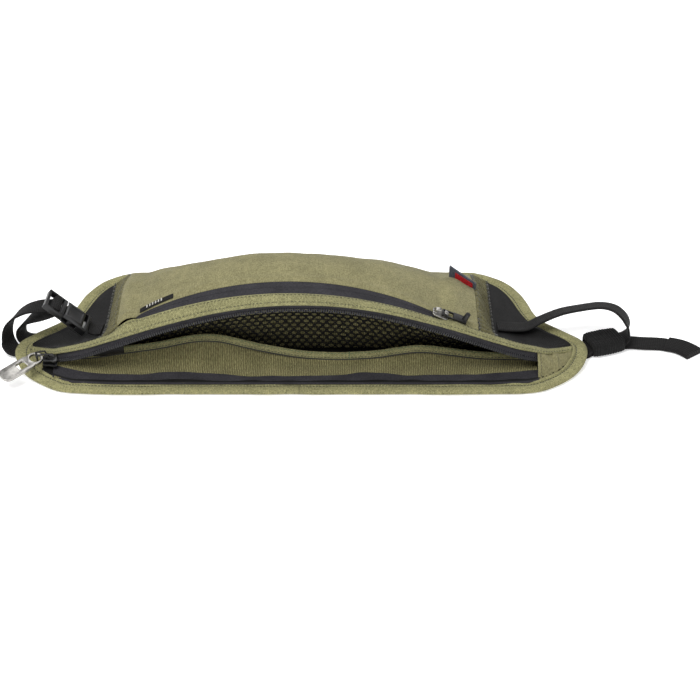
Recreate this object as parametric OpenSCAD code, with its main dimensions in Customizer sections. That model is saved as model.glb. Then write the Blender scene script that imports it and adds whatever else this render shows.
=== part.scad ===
// Money belt: a soft waist pouch lying on its back with the mouth held open, its zips, its
// side-release buckle and its waist strap. X runs along the belt, Y from the top edge of the
// pouch to its bottom edge, Z up; the origin is under the middle of the pouch, on the table.

/* [Pouch] */
// Length of the pouch from wing tip to wing tip, in mm
pouch_length = 310; // [290:1:330]
// Depth of the pouch from its top edge to its bottom edge, in mm
pouch_depth = 121.5; // [112:0.5:130]
// Height of the open lip above the table, in mm
lip_height = 45.5; // [38:0.5:50]
// Width of the bound edge, in mm
binding_width = 8; // [6:0.5:10]
// Thickness of the bound edge, in mm
binding_thickness = 2.8; // [2:0.1:3.5]
// Thickness of a single cloth panel, in mm
cloth_thickness = 0.9; // [0.6:0.1:1.2]
// Height of the back panel above the table, where it rests on the strap, in mm
back_height = 2.8; // [2.7:0.1:4]

/* [Zips] */
// Distance from the middle of the pouch to the main slider when the zip is open, in mm
slider_start = 134; // [131:1:136]
// Travel of the main slider, in mm
slider_travel = 245; // [230:1:246]
// Width of a zip coil, in mm
coil_width = 2.2; // [1.8:0.1:3]
// Length of the metal pull of the main zip, in mm
pull_length = 26; // [24:1:30]
// Width of the metal pull, in mm
pull_width = 9.6; // [9:0.2:10.4]
// Radius of the curve the outer zip follows, in mm
outer_zip_radius = 194; // [185:1:210]
// Angle the outer slider sits away from the middle of that curve, in degrees
outer_zip_angle = 24; // [20:0.5:25]

/* [Strap and buckle] */
// Width of the waist webbing, in mm
webbing_width = 12.5; // [12:0.1:13]
// Thickness of the waist webbing, in mm
webbing_thickness = 1.2; // [1:0.1:1.3]
// Length of the closed buckle, in mm
buckle_length = 27; // [26.5:0.5:29]
// Width of the buckle, in mm
buckle_width = 15; // [14.9:0.1:16]
// Thickness of the buckle, in mm
buckle_thickness = 5.6; // [5.4:0.1:6]
// Length of the elastic strap keeper, in mm
keeper_length = 19; // [18:0.5:20]

/* [Hidden] */
$fn = 32;

kx = pouch_length / 310;
ky = pouch_depth / 121.5;
olive = [0.42, 0.42, 0.25];
black = [0.08, 0.08, 0.09];
slate = [0.16, 0.16, 0.19];
steel = [0.75, 0.75, 0.74];

binding_top = back_height + binding_thickness;
floor_z = back_height + cloth_thickness + 0.2;

// ---- small helpers on lists of points ----
function mid(a, b, t) = a + (b - a) * t;
function smooth(t) = let (u = max(0, min(1, t))) u * u * (3 - 2 * u);
function unit(v) = v / norm(v);

// Catmull-Rom curve through the points p, n steps a span; closed joins the last to the first.
function curve_at(a, b, c, d, t) =
    0.5 * (2 * b + (c - a) * t + (2 * a - 5 * b + 4 * c - d) * t * t
           + (3 * b - a - 3 * c + d) * t * t * t);
function loop_curve(p, n) =
    [for (i = [0:len(p) - 1]) for (j = [0:n - 1])
        curve_at(p[(i + len(p) - 1) % len(p)], p[i], p[(i + 1) % len(p)],
                 p[(i + 2) % len(p)], j / n)];
function open_curve(p, n) = let (m = len(p) - 1)
    concat([for (i = [0:m - 1]) for (j = [0:n - 1])
        curve_at(p[max(i - 1, 0)], p[i], p[i + 1], p[min(i + 2, m)], j / n)], [p[m]]);

// A closed flat outline moved inwards by d.
function inset(p, d) = let (m = len(p))
    [for (i = [0:m - 1]) let (t = unit(p[(i + 1) % m] - p[(i + m - 1) % m]))
        p[i] + d * [-t[1], t[0]]];

// Closed solid between two grids of points that have the same rows and columns.
module skin(upper, lower) {
    rows = len(upper);
    cols = len(upper[0]);
    count = rows * cols;
    points = concat([for (r = upper) for (q = r) q], [for (r = lower) for (q = r) q]);
    top_faces = [for (i = [0:rows - 2]) for (j = [0:cols - 2]) let (a = i * cols + j)
        each [[a, a + cols, a + 1], [a + 1, a + cols, a + cols + 1]]];
    low_faces = [for (f = top_faces) [f[0] + count, f[2] + count, f[1] + count]];
    rim = concat([for (j = [0:cols - 2]) j],
                 [for (i = [0:rows - 2]) i * cols + cols - 1],
                 [for (j = [cols - 1:-1:1]) (rows - 1) * cols + j],
                 [for (i = [rows - 1:-1:1]) i * cols]);
    sides = [for (k = [0:len(rim) - 1]) let (a = rim[k], b = rim[(k + 1) % len(rim)])
        each [[a, b, a + count], [b, b + count, a + count]]];
    polyhedron(points = points, faces = concat(top_faces, low_faces, sides), convexity = 6);
}

// Cloth sheet: rows is a grid running left to right, each row a list of points near to far.
module sheet(rows, thick = cloth_thickness) {
    m = len(rows) - 1;
    n = len(rows[0]) - 1;
    normals = [for (i = [0:m]) [for (j = [0:n])
        unit(cross(rows[min(i + 1, m)][j] - rows[max(i - 1, 0)][j],
                   rows[i][min(j + 1, n)] - rows[i][max(j - 1, 0)]))]];
    under = [for (i = [0:m]) [for (j = [0:n]) rows[i][j] - thick * normals[i][j]]];
    skin(rows, under);
}

// Flat strip along a path; across gives the direction of its width at each point.
function headings(path) = let (m = len(path) - 1)
    [for (i = [0:m]) unit(path[min(i + 1, m)] - path[max(i - 1, 0)])];
module ribbon(path, across, width, thick, along = undef) {
    m = len(path) - 1;
    ahead = is_undef(along) ? headings(path) : along;
    wide = [for (i = [0:m]) unit(across[i] - (across[i] * ahead[i]) * ahead[i])];
    up = [for (i = [0:m]) cross(ahead[i], wide[i])];
    skin([for (i = [0:m]) [path[i] - wide[i] * width / 2 + up[i] * thick / 2,
                           path[i] + wide[i] * width / 2 + up[i] * thick / 2]],
         [for (i = [0:m]) [path[i] - wide[i] * width / 2 - up[i] * thick / 2,
                           path[i] + wide[i] * width / 2 - up[i] * thick / 2]]);
}

// ---- plan of the pouch ----
half_plan = [[0, -60], [60, -60], [100, -60], [124, -58.2], [137, -51.5], [147, -42],
             [153, -31], [155, -21], [153, -13], [147, -6], [139, 1.5], [132, 9], [128, 18],
             [125.5, 28], [122, 38], [117, 47], [110, 54], [101, 59.5], [90, 61.5], [45, 61.5],
             [0, 61.5]];
plan_points = concat(half_plan, [for (i = [len(half_plan) - 2:-1:1])
    [-half_plan[i][0], half_plan[i][1]]]);
plan = loop_curve([for (p = plan_points) [p[0] * kx, p[1] * ky]], 3);
plan_inner = inset(plan, binding_width);

// Where the inside of the binding runs, near side and far side, for a place x along the belt.
near_inside = [[0, -52], [100, -52], [121, -50.5], [132, -45], [140, -37.5], [145.5, -28], [147, -21]];
far_inside = [[0, 53.5], [88, 53.5], [97, 52], [104, 48.5], [110, 42.5], [114.3, 35], [117.5, 26],
              [120, 16.5], [124.5, 5.5], [133, -4], [141, -11], [145, -15.5], [147, -21]];
function near_y(x) = ky * lookup(abs(x) / kx, near_inside);
function far_y(x) = ky * lookup(abs(x) / kx, far_inside);

// ---- lip, upper strip and outer zip ----
function arch(x) = cos(90 * min(1, abs(x) / (132 * kx)));
function lip_z(x) = back_height + 4.7 + (lip_height - 7.5) * pow(max(arch(x), 0.0001), 1.1)
    - 2.6 * smooth((abs(x) / kx - 128) / 18);
lip_run = [[0, -46], [60, -45.1], [95, -43.6], [116, -41.8], [127, -38], [137, -31.5], [146, -24]];
function lip_y(x) = ky * lookup(abs(x) / kx, lip_run);
function strip_near(x) = [x, lip_y(x) + 1 - 2.5 * arch(x), lip_z(x) + 4 - 0.8 * arch(x)
    - 3.2 * smooth((abs(x) / kx - 120) / 26)];

outer_mid = [-6 * kx, -33 * ky, lip_height + 5.3];
outer_lean = 8.5;
outer_end_x = outer_zip_radius * sin(outer_zip_angle + 0.5);
function outer_at(x) = let (u = min(abs(x - outer_mid[0]), outer_end_x),
                            drop = outer_zip_radius - sqrt(pow(outer_zip_radius, 2) - u * u))
    [x, outer_mid[1] - drop * sin(outer_lean), outer_mid[2] - drop * cos(outer_lean)];
function outer_half(x) = let (u = min(1, abs(x - outer_mid[0]) / outer_end_x))
    0.6 + 3.8 * sqrt(max(0, 1 - u * u));
zip_slope = 14;
zip_across = [0, cos(zip_slope), sin(zip_slope)];
function outer_blend(x) = smooth((abs(x - outer_mid[0]) - outer_end_x) / (0.2 * outer_end_x));
function strip_far(x) =
    mid(outer_at(x) - (outer_half(x) + 0.2) * zip_across,
        strip_near(x) + [0, 5 + 3.5 * arch(x), arch(x)], outer_blend(x));
function panel_near(x) =
    mid(outer_at(x) + (outer_half(x) + 0.2) * zip_across,
        strip_far(x) + [0, 0.5, 0], outer_blend(x));

// ---- pieces of the pouch ----
module back_panel() color(black)
    translate([0, 0, back_height]) linear_extrude(cloth_thickness) polygon(plan_inner);

module edge_binding() color(olive)
    translate([0, 0, back_height]) linear_extrude(binding_thickness) difference() {
        polygon(plan);
        polygon(inset(plan, binding_width - 0.1));
    }

function span(a, b, n) = [for (i = [0:n]) a + (b - a) * i / n];
panel_left = -97;
panel_right = 94;
gather_run = 10;

// Profile of the belly at x, from the outer zip over the crown down to the bound bottom edge.
belly = [[-15, 1.02], [0, 0.985], [12, 0.86], [24, 0.695], [38, 0.46], [48, 0.25]];
function belly_row(x) = let (first = panel_near(x), k = first[2] - floor_z)
    open_curve(concat([first],
        [for (b = belly) [x, max(b[0] * ky, first[1] + 4), floor_z + k * b[1] + 1]],
        [[x, far_y(x) - 0.3, binding_top]]), 2);

module front_panel() color(olive)
    sheet([for (x = span(panel_left, panel_right, 30)) belly_row(x * kx)]);

// Gathered strip: the seam of the belly puckers where it meets the flat wing.
function wing_z(x, s) = let (high = strip_far(x)[2])
    binding_top + 0.4 + (high - binding_top - 0.4) * pow(1 - s, 4.5);
function on_wing(x, y, lift) = let (a = strip_far(x)[1] + 0.5)
    [x, y, wing_z(x, (y - a) / (far_y(x) - 0.3 - a)) + lift];
function wing_row(x, n) = let (a = strip_far(x), b = far_y(x) - 0.3)
    [for (s = span(0, 1, n)) [x, a[1] + 0.5 + (b - a[1] - 0.5) * s, wing_z(x, s)]];
function pucker(j) = (j % 2 == 0) ? 0.7 : -0.7;
function gather_row(x, t) = let (p = belly_row(x), w = wing_row(x, len(p) - 1), m = len(p) - 1)
    [for (j = [0:m]) mid(p[j], w[j], smooth(t))
        + [0, 0, (j == 0 || j == m) ? 0 : pucker(j) * sin(180 * t)]];

module gather(side, seam) color(olive) {
    steps = span(0, 1, 6);
    rows = [for (t = steps) gather_row(seam + side * (0.5 + gather_run * t) * kx, t)];
    sheet(side > 0 ? rows : [for (i = [len(rows) - 1:-1:0]) rows[i]]);
}
module gather_left() gather(-1, panel_left * kx);
module gather_right() gather(1, panel_right * kx);

module wing(side, seam) color(black) {
    from = abs(seam) + gather_run + 1;
    rows = [for (x = span(from, 144.5, 14)) wing_row(side * x * kx, 10)];
    sheet(side > 0 ? rows : [for (i = [len(rows) - 1:-1:0]) rows[i]], 0.8);
}
module wing_left() wing(-1, panel_left);
module wing_right() wing(1, panel_right);

module upper_strip() color(olive)
    sheet([for (x = span(-145.5 * kx, 145.5 * kx, 48)) [strip_near(x),
        mid(strip_near(x), strip_far(x), 0.5) + [0, 0, 0.5], strip_far(x)]]);

// ---- outer zip ----
module outer_zip_tape() color(slate)
    sheet([for (t = span(-1, 1, 30)) let (x = outer_mid[0] + outer_end_x * t, c = outer_at(x),
                                          h = outer_half(x) * zip_across)
        [c - h, c - 0.3 * h, c + 0.3 * h, c + h]], 0.7);

// Frame of the outer slider: on the tape, nose along the zip.
module on_outer_zip(angle) {
    p = outer_at(outer_mid[0] + outer_zip_radius * sin(angle));
    translate(p) rotate([zip_slope, angle, 0]) children();
}
slider_lift = 1.8;
module outer_slider() color(steel) on_outer_zip(outer_zip_angle) translate([0, 0, slider_lift]) {
    linear_extrude(1.1) polygon([[-4.5, -1.9], [-3.2, -3], [3, -3.4], [4.5, -2.4],
                                 [4.5, 2.4], [3, 3.4], [-3.2, 3], [-4.5, 1.9]]);
    translate([-2.2, 0, 0.9]) rotate([90, 0, 0]) linear_extrude(2.4, center = true)
        polygon([[-1.8, 0], [-1.4, 2.2], [0.4, 2.9], [1.6, 2.9], [1.6, 2.1], [0.2, 2], [-0.3, 0]]);
    translate([2.9, 0, 0.9]) rotate([90, 0, 0]) linear_extrude(2.4, center = true)
        polygon([[-0.8, 0], [-1.4, 2.3], [-0.6, 2.6], [1, 1.8], [1.2, 0]]);
}
module outer_pull() color(black) on_outer_zip(outer_zip_angle) translate([0.9, 0, slider_lift + 2.1]) {
    rotate([90, 0, 0]) cylinder(d = 1, h = 4.6, center = true);
    for (side = [-1, 1])
        translate([0, side * 1.95 - 0.35, -0.5]) cube([6.5, 0.7, 1]);
    translate([5.8, -2.3, -0.6]) cube([7.5, 4.6, 1.4]);
    translate([12.2, 0, 0.6]) cylinder(d1 = 3.2, d2 = 2.6, h = 4.6);
}

// ---- main zip ----
function coil_centre(x) = [x, lip_y(x) + 0.2, lip_z(x) - 0.7];
module main_tape_upper() color(slate)
    sheet([for (x = span(-121 * kx, 125 * kx, 40))
        let (low = coil_centre(x) + [0, 0, 1.9], high = strip_near(x) + [0, 1.2, -1.8])
        [low, mid(low, high, 0.5) + [0, 0.3, 0], high]], 0.6);
module main_coil_upper() color(black) {
    path = [for (x = span(-121 * kx, 125 * kx, 40)) coil_centre(x)];
    ribbon(path, [for (p = path) [0, 0.5, 0.85]], coil_width, 1.3);
}

tape_in = [[-129, -36.5], [-124, -39.5], [-116, -42.5], [-104, -44], [-70, -42.5], [-30, -44.4],
           [30, -44.4], [55, -42.8], [80, -44.2], [104, -42.5], [126, -40.5]];
module main_tape_lower() color(slate) {
    low = binding_top - 1.2;
    edges = [for (x = span(-129, 126, 40)) [[x * kx, near_y(x * kx) + 0.3, low],
                                            [x * kx, lookup(x, tape_in) * ky, low]]];
    skin([for (e = edges) [for (q = e) q + [0, 0, 0.7]]], edges);
}
module main_coil_lower() color(black) {
    path = [for (x = span(-110, 118, 40)) [x * kx, lookup(x, tape_in) * ky - 1.6, floor_z + 0.16]];
    ribbon(path, [for (p = path) [0, 1, 0]], coil_width, 0.6);
}

slider_y = -37.6 * ky;
slider_base = binding_top + 0.3;
module on_main_zip() translate([-slider_start * kx, slider_y, slider_base]) children();

module main_slider() color(black) on_main_zip() {
    outline = [[-3.9, -1.4], [-2.8, -2.4], [0.4, -2.7], [2.6, -3.4], [3.9, -3], [3.9, 3],
               [2.6, 3.4], [0.4, 2.7], [-2.8, 2.4], [-3.9, 1.4]];
    linear_extrude(0.9) polygon(outline);
    translate([0, 0, 2.9]) linear_extrude(0.9) polygon(outline);
    translate([2.4, 0, 0]) cylinder(d = 2, h = 3.4);
    translate([0, 0, 3.7]) rotate([90, 0, 0]) linear_extrude(1.3, center = true)
        polygon([[-3, 0], [-2.8, 1.9], [-2.1, 2.5], [1.8, 2.5], [2.5, 1.9], [2.9, 0], [1.8, 0],
                 [1.6, 1.4], [-1.9, 1.4], [-2.1, 0]]);
}

// The link lies back from the bridge; the pull hangs on it and leans over the corner of the pouch.
link_root = [-0.9, 0, 4.45];
link_heading = 197;
link_length = 5.9;
module pull_link() color(black) on_main_zip() translate(link_root) rotate([0, 0, link_heading]) {
    rotate([90, 0, 0]) cylinder(d = 1, h = 3.8, center = true);
    for (side = [-1, 1])
        translate([0, side * 1.6, 0]) rotate([90, 0, 0]) linear_extrude(0.6, center = true)
            polygon([[-0.5, -0.4], [0.5, -0.4], [1.4, 2.5], [5.4, 2.5], [5.4, -0.5], [6.4, -0.5],
                     [6.4, 3.2], [1, 3.2], [-0.5, 0.4]]);
    translate([link_length, 0, 0]) rotate([90, 0, 0]) cylinder(d = 1, h = 3.8, center = true);
}

module rounded_bar(length, width, corner) {
    translate([corner, -width / 2]) square([length - 2 * corner, width]);
    translate([0, -width / 2 + corner]) square([length, width - 2 * corner]);
    for (x = [corner, length - corner]) for (y = [-1, 1])
        translate([x, y * (width / 2 - corner)]) circle(corner);
}
pull_hole = [-7.2, -2, 4.65]; // from the middle of the slider
pull_turn = [-8, 6.9, 223];
module main_pull() color(steel)
    on_main_zip() translate(pull_hole) rotate(pull_turn) translate([-3.6, 0, -0.8])
        linear_extrude(1.6) difference() {
            union() {
                rounded_bar(9, 8.8, 4.3);
                translate([5.4, 0]) rounded_bar(pull_length - 5.4, pull_width, 3.8);
            }
            translate([1.2, 0]) rounded_bar(5.6, 6.5, 2.7);
            translate([9.6, 0]) rounded_bar(5.8, 5.4, 1.4);
        }

module zip_end_patch() color(olive)
    sheet([for (x = span(127 * kx, 145 * kx, 8)) let (a = near_y(x) + 0.4, b = strip_near(x))
        [[x, a, binding_top - 0.2], [x, mid(a, b[1], 0.5), mid(binding_top, b[2], 0.45)],
         [x, b[1] - 0.4, b[2] - 1.1]]]);

module zip_start_tab() color(olive)
    sheet([for (x = span(-145 * kx, -140.5 * kx, 3)) let (a = near_y(x) + 0.4, b = strip_near(x))
        [[x, a, binding_top - 0.6], [x, mid(a, b[1], 0.5), binding_top - 0.4],
         [x, b[1] - 0.5, binding_top - 0.3]]]);

// ---- inside of the pouch ----
rise = [[-124, 5.6], [-108, 7.4], [-96, 10], [-75, 13.2], [-58, 17.6], [-45, 18.2], [-33, 14.8],
        [-20, 11.2], [0, 7.2], [20, 6], [42, 7.4], [55, 10.2], [65, 11.2], [76, 9.6], [96, 6.6],
        [118, 6]];
function rise_at(x) = (lookup(x - 4, rise) + lookup(x, rise) + lookup(x + 4, rise)) / 3;
wall_y = -32 * ky;
module pocket_wall() color(olive)
    sheet([for (x = span(-123, 120, 48)) let (z = rise_at(x), low = floor_z + 0.85)
        [[x * kx, -41 * ky, low], [x * kx, wall_y - 1.3, low], [x * kx, wall_y - 0.4, low + 0.8],
         [x * kx, wall_y + 0.3, max(low + 1.2, z - 1.6)]]], 0.7);
module pocket_binding() color(olive) {
    path = [for (x = span(-123, 120, 48)) [x * kx, wall_y + 1.4, max(floor_z + 3.6, rise_at(x))]];
    ribbon(path, [for (p = path) [0, 0.5, 1]], 3.4, 1.6);
}
// The mesh pocket hangs from the open lip and hugs the stuffed front compartment behind it.
function hang_row(x, back) = let (top = lip_z(x * kx) - 1)
    [[x * kx, -22 * ky + back, floor_z + 0.9],
     [x * kx, -24.5 * ky + back, mid(floor_z, top, 0.3)],
     [x * kx, -29 * ky + back, mid(floor_z, top, 0.7)],
     [x * kx, lip_y(x * kx) + 6.5 + back, top]];
module mesh_pocket() color(black)
    sheet([for (x = span(-110, 117, 30)) hang_row(x, 0)], 0.6);
module inner_lining() color(olive)
    sheet([for (x = span(-108, 114, 30)) hang_row(x, 3.4)], 0.6);
module inner_flap() color(black)
    sheet([for (x = span(-108, -94, 4)) let (t = (x + 108) / 14)
        [[x * kx, -36.4 * ky, 12.8 + 2.5 * t], [x * kx, -37.4 * ky, 15.4 + 2.6 * t],
         [x * kx, -37.9 * ky, 18.4 + 2.8 * t]]], 0.9);

// ---- label and tag ----
module front_label() color(black)
    sheet([for (x = span(-83, -68, 4)) let (r = belly_row(x * kx), lift = [0, 0, 1.1])
        [mid(r[0], r[2], 0.18 + (x + 83) * 0.012) + lift,
         mid(r[0], r[2], 0.34 + (x + 83) * 0.012) + lift]], 0.6);
module side_tag() color([0.35, 0.36, 0.4])
    translate([87 * kx, 8 * ky, 30.2]) rotate([0, 24, 28]) {
        translate([-6, -0.75, 0]) cube([13, 1.5, 9]);
    }

// ---- buckle: x runs from the tab end to the adjuster, y across, z through its thickness ----
buckle_origin = [-117, -11, 12.6];
buckle_turn = [-2, -40, 176];
module on_buckle() translate(buckle_origin) rotate(buckle_turn) children();
bw = buckle_width / 2;
bt = buckle_thickness / 2;
joint_x = 0.545 * buckle_length;
rim = 1.7;

module buckle_tab() color(black) {
    path = [on_wing(-108.4, -11.2, 2.3), on_wing(-109.6, -11.1, 2.3), on_wing(-111, -11, 2.45),
            [-113.4, -10.9, 10.9], [-115.6, -10.9, 12.5]];
    ribbon(path, [for (p = path) [0.05, 1, -0.1]], webbing_width, webbing_thickness);
}

// Section of the buckle across its width: thick in the middle, thinner at the rims.
module buckle_section(length)
    rotate([90, 0, 90]) linear_extrude(length)
        polygon([[-bw, -rim], [1.4 - bw, -bt], [bw - 1.4, -bt], [bw, -rim],
                 [bw, rim], [bw - 1.4, bt], [1.4 - bw, bt], [-bw, rim]]);

module buckle_female() color(black) on_buckle() difference() {
    buckle_section(joint_x);
    translate([1.6, -webbing_width / 2 - 0.2, -bt - 1]) cube([1.9, webbing_width + 0.4, 2 * bt + 2]);
    translate([joint_x - 9.8, 1.5 - bw, 1 - bt]) cube([joint_x, 2 * bw - 3, 2 * bt - 2]);
    translate([joint_x - 8.86, -bw - 1, -1.15]) cube([joint_x, 2 * bw + 2, 2.3]);
    translate([joint_x - 9.6, -4.6, bt - 0.45]) cube([7.4, 9.2, 1]);
}

// Moulded ladder of the male half with its guide tongue.
module buckle_male() color(black) on_buckle() {
    frame_length = buckle_length - joint_x - 0.3;
    translate([joint_x + 0.3, 0, 0]) {
        translate([0, 1.4 - bw, -rim]) cube([2.3, 2 * bw - 2.8, 2 * rim]);
        for (side = [-1, 1])
            translate([0, side * (bw - 0.55) - 0.55, -rim]) cube([frame_length, 1.1, 2 * rim]);
        translate([5.2, 0, 0]) rotate([90, 0, 0]) cylinder(d = 1.8, h = 2 * bw - 1, center = true);
        translate([frame_length - 1.7, 0.5 - bw, -1.3]) cube([1.7, 2 * bw - 1, 2.6]);
    }
    translate([joint_x - 9.4, -0.9, -1.2]) cube([9.9, 1.8, 2.4]);
}

// Spring arms of the male half; their heads show in the side windows.
module prong(side) color(black) on_buckle() linear_extrude(2.1, center = true)
    polygon([[joint_x - 0.1, side * 3.5], [joint_x - 0.1, side * 5], [joint_x - 3.3, side * 5.4],
             [joint_x - 3.4, side * (bw - 0.2)], [joint_x - 5.8, side * (bw - 0.2)],
             [joint_x - 8.3, side * 5.3], [joint_x - 8.5, side * 4.1],
             [joint_x - 5.3, side * 4]]);
module prong_near() prong(1);
module prong_far() prong(-1);

// ---- waist strap: one length of webbing from the right wing to its loose end ----
// Each stop is [centre of the webbing, direction of its width].
function at_buckle(p) =
    let (c = [cos(buckle_turn[0]), cos(buckle_turn[1]), cos(buckle_turn[2])],
         s = [sin(buckle_turn[0]), sin(buckle_turn[1]), sin(buckle_turn[2])],
         u = [p[0], p[1] * c[0] - p[2] * s[0], p[1] * s[0] + p[2] * c[0]],
         v = [u[0] * c[1] + u[2] * s[1], u[1], -u[0] * s[1] + u[2] * c[1]])
    [v[0] * c[2] - v[1] * s[2], v[0] * s[2] + v[1] * c[2], v[2]];
function ladder(x, z) = [buckle_origin + at_buckle([joint_x + 0.3 + x, 0, z]), at_buckle([0, 1, 0])];
low_run = webbing_thickness / 2;
high_run = low_run + webbing_thickness + 0.12;
keeper_middle = [164.4, -13.4];
keeper_turn = 21;
function in_keeper(along, z) =
    [[keeper_middle[0] + along * cos(keeper_turn), keeper_middle[1] + along * sin(keeper_turn), z],
     [sin(keeper_turn), -cos(keeper_turn), 0]];
right_stops =
    [[on_wing(106.6, -5, 1.6), [0, -1, 0.2]], [on_wing(111, -5, 1.6), [0, -1, 0.18]],
     [on_wing(116, -4.6, 1.8), [0, -1, 0.18]], [[123, -3.4, 8.2], [0.03, -1, 0.22]],
     [[130.3, -1.5, 11.2], [0.05, -1, 0.26]], [[141.2, 0.6, 15], [0.05, -1, 0.28]],
     [[152.1, 1.6, 17], [0.03, -1, 0.3]], [[162.9, 1.2, 18.8], [-0.05, -1, 0.28]],
     [[170.4, -1, 18.4], [-0.18, -1, 0.24]], [[175.2, -3.8, 15.6], [-0.24, -1, 0.2]],
     [[177.5, -6.3, 12], [-0.2, -1, 0.15]], [[177.8, -8.3, 8.4], [-0.05, -1, 0.1]],
     [[176.6, -9.2, 5.2], [0.15, -1, 0.05]], in_keeper(9.2, 3.5), in_keeper(4, 3.4),
     in_keeper(-4, 3.4), in_keeper(-9.2, 3.05), [[154, -17.5, 1.93], [0.2, -1, 0]],
     [[151, -18.3, high_run], [0.1, -1, 0]], [[144, -18.7, high_run], [0, -1, 0]],
     [[130, -18, high_run], [0, -1, 0]], [[100, -16.5, high_run], [0, -1, 0]],
     [[0, -15, high_run], [0, -1, 0]], [[-100, -16.3, high_run], [0, -1, 0]],
     [[-132, -17, high_run], [0, -1, 0]], [[-145, -17.6, high_run], [0, -1, 0]],
     [[-151, -18.1, high_run], [0, -1, 0]], [[-154.4, -17.9, 2], [-0.05, -1, 0]],
     [[-157.4, -16.8, 2.7], [-0.15, -1, 0]], [[-159.2, -14.4, 4.7], [-0.3, -1, 0]]];
loop_stops = concat(
    [[[-160, -12.8, 8], [-0.32, -1, 0.1]], [[-159.7, -11.5, 11.8], [-0.32, -1, 0.15]],
     [[-158, -10.6, 15.8], [-0.28, -1, 0.15]], [[-154, -9.9, 20], [-0.2, -1, 0.1]],
     [[-148.8, -9.5, 23], [-0.13, -1, 0.05]], [[-143.4, -9.4, 24.6], [-0.1, -1, 0]]],
    [ladder(9.8, -4.6), ladder(8.2, -3.1), ladder(7.3, -1.5), ladder(7.2, 0.2), ladder(6.7, 1.5),
     ladder(5.2, 2.1), ladder(3.6, 1.5), ladder(3.3, -0.4), ladder(3.35, -2.3), ladder(4.4, -4.8)],
    [[[-139.6, -9.4, 19.4], [-0.1, -1, 0]], [[-145.5, -8.6, 17.4], [-0.12, -1, 0]],
     [[-149.8, -7.6, 14.6], [-0.2, -1, 0.1]], [[-152.7, -6.4, 10.3], [-0.3, -1, 0.15]]]);
tail_stops =
    [[[-153.4, -5.6, 6], [-0.3, -1, 0.15]], [[-152.2, -5, 2.4], [-0.2, -1, 0.1]],
     [[-149.6, -5, 0.95], [0, -1, 0]], [[-146, -5.2, low_run], [0, -1, 0]],
     [[-140, -5.2, low_run], [0, -1, 0]], [[-125, -4.9, low_run], [0, -1, 0]],
     [[-90, -4, low_run], [0, -1, 0]], [[0, -4.4, low_run], [0, -1, 0]],
     [[90, -9, low_run], [0.05, -1, 0]], [[125, -14, low_run], [0.08, -1, 0]],
     [[145, -17.6, low_run], [0.1, -1, 0]], [[151, -18.2, low_run], [0.1, -1, 0]],
     [[153.8, -17.6, 0.62], [0.2, -1, 0]], in_keeper(-9.3, 1.45), in_keeper(-4, 1.5),
     in_keeper(4, 1.5), in_keeper(9.2, 1.5), [[179, -9.2, 1.45], [0.1, -1, 0]],
     [[185.5, -9.6, 1.2], [0, -1, 0]], [[193, -9.8, 1], [0, -1, 0]],
     [[197.4, -10.4, 0.95], [-0.2, -1, 0]], [[200.4, -11.5, 0.95], [-0.4, -1, 0]]];

// The whole length is one curve; the loops move with the buckle, the rest lies with the pouch.
strap_stops = concat(right_stops, loop_stops, tail_stops);
strap_steps = 3;
strap_path = [for (q = open_curve([for (s = strap_stops) s[0]], strap_steps))
    [q[0], q[1], max(q[2], low_run)]];
strap_across = open_curve([for (q = strap_stops) q[1]], strap_steps);
strap_headings = headings(strap_path);
loops_from = strap_steps * len(right_stops);
loops_to = strap_steps * (len(right_stops) + len(loop_stops));

function slice(list, from, to) = [for (i = [from:to]) list[i]];
module strap_length(from, to)
    ribbon(slice(strap_path, from, to), slice(strap_across, from, to), webbing_width,
           webbing_thickness, slice(strap_headings, from, to));

module waist_strap() color(black) strap_length(0, loops_from);
module strap_loops() color(black) strap_length(loops_from, loops_to);
module strap_tail() color(black) strap_length(loops_to, len(strap_path) - 1);

module strap_hem() color(black) {
    path = [[200.8, -11.7, 1.8], [204.9, -13.6, 1.8], [209.3, -16.9, 1.7], [213, -21.2, 1.6]];
    across = [[-0.4, -1, 0], [-0.5, -1, 0], [-0.65, -1, 0], [-0.8, -1, 0]];
    ribbon(path, across, webbing_width + 0.6, 2.9);
}

module strap_keeper() color(black)
    translate([keeper_middle[0], keeper_middle[1], 0]) rotate([0, 0, keeper_turn]) difference() {
        translate([-keeper_length / 2, 0, 4.3]) rotate([90, 0, 90]) linear_extrude(keeper_length)
            rounded_bar_centred(17, 8.4, 2.8);
        translate([-keeper_length, -6.65, 0.65]) cube([2 * keeper_length, 13.3, 4.4]);
    }
module rounded_bar_centred(width, height, corner)
    translate([-width / 2, 0]) rounded_bar(width, height, corner);

back_panel();
edge_binding();
wing_left();
wing_right();
gather_left();
gather_right();
front_panel();
upper_strip();
outer_zip_tape();
outer_slider();
outer_pull();
main_tape_upper();
main_coil_upper();
main_tape_lower();
main_coil_lower();
main_slider();
main_pull();
pull_link();
zip_end_patch();
zip_start_tab();
pocket_wall();
pocket_binding();
mesh_pocket();
inner_lining();
inner_flap();
front_label();
side_tag();
buckle_tab();
buckle_female();
buckle_male();
prong_near();
prong_far();
waist_strap();
strap_loops();
strap_tail();
strap_hem();
strap_keeper();
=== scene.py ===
"""A money belt lying on its back with its mouth open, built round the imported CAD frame.

Lengths below are millimetres in the frame's own axes unless a name says otherwise.
"""

import math

import bmesh
import bpy
import numpy as np
from mathutils import Matrix, Vector, noise


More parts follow.
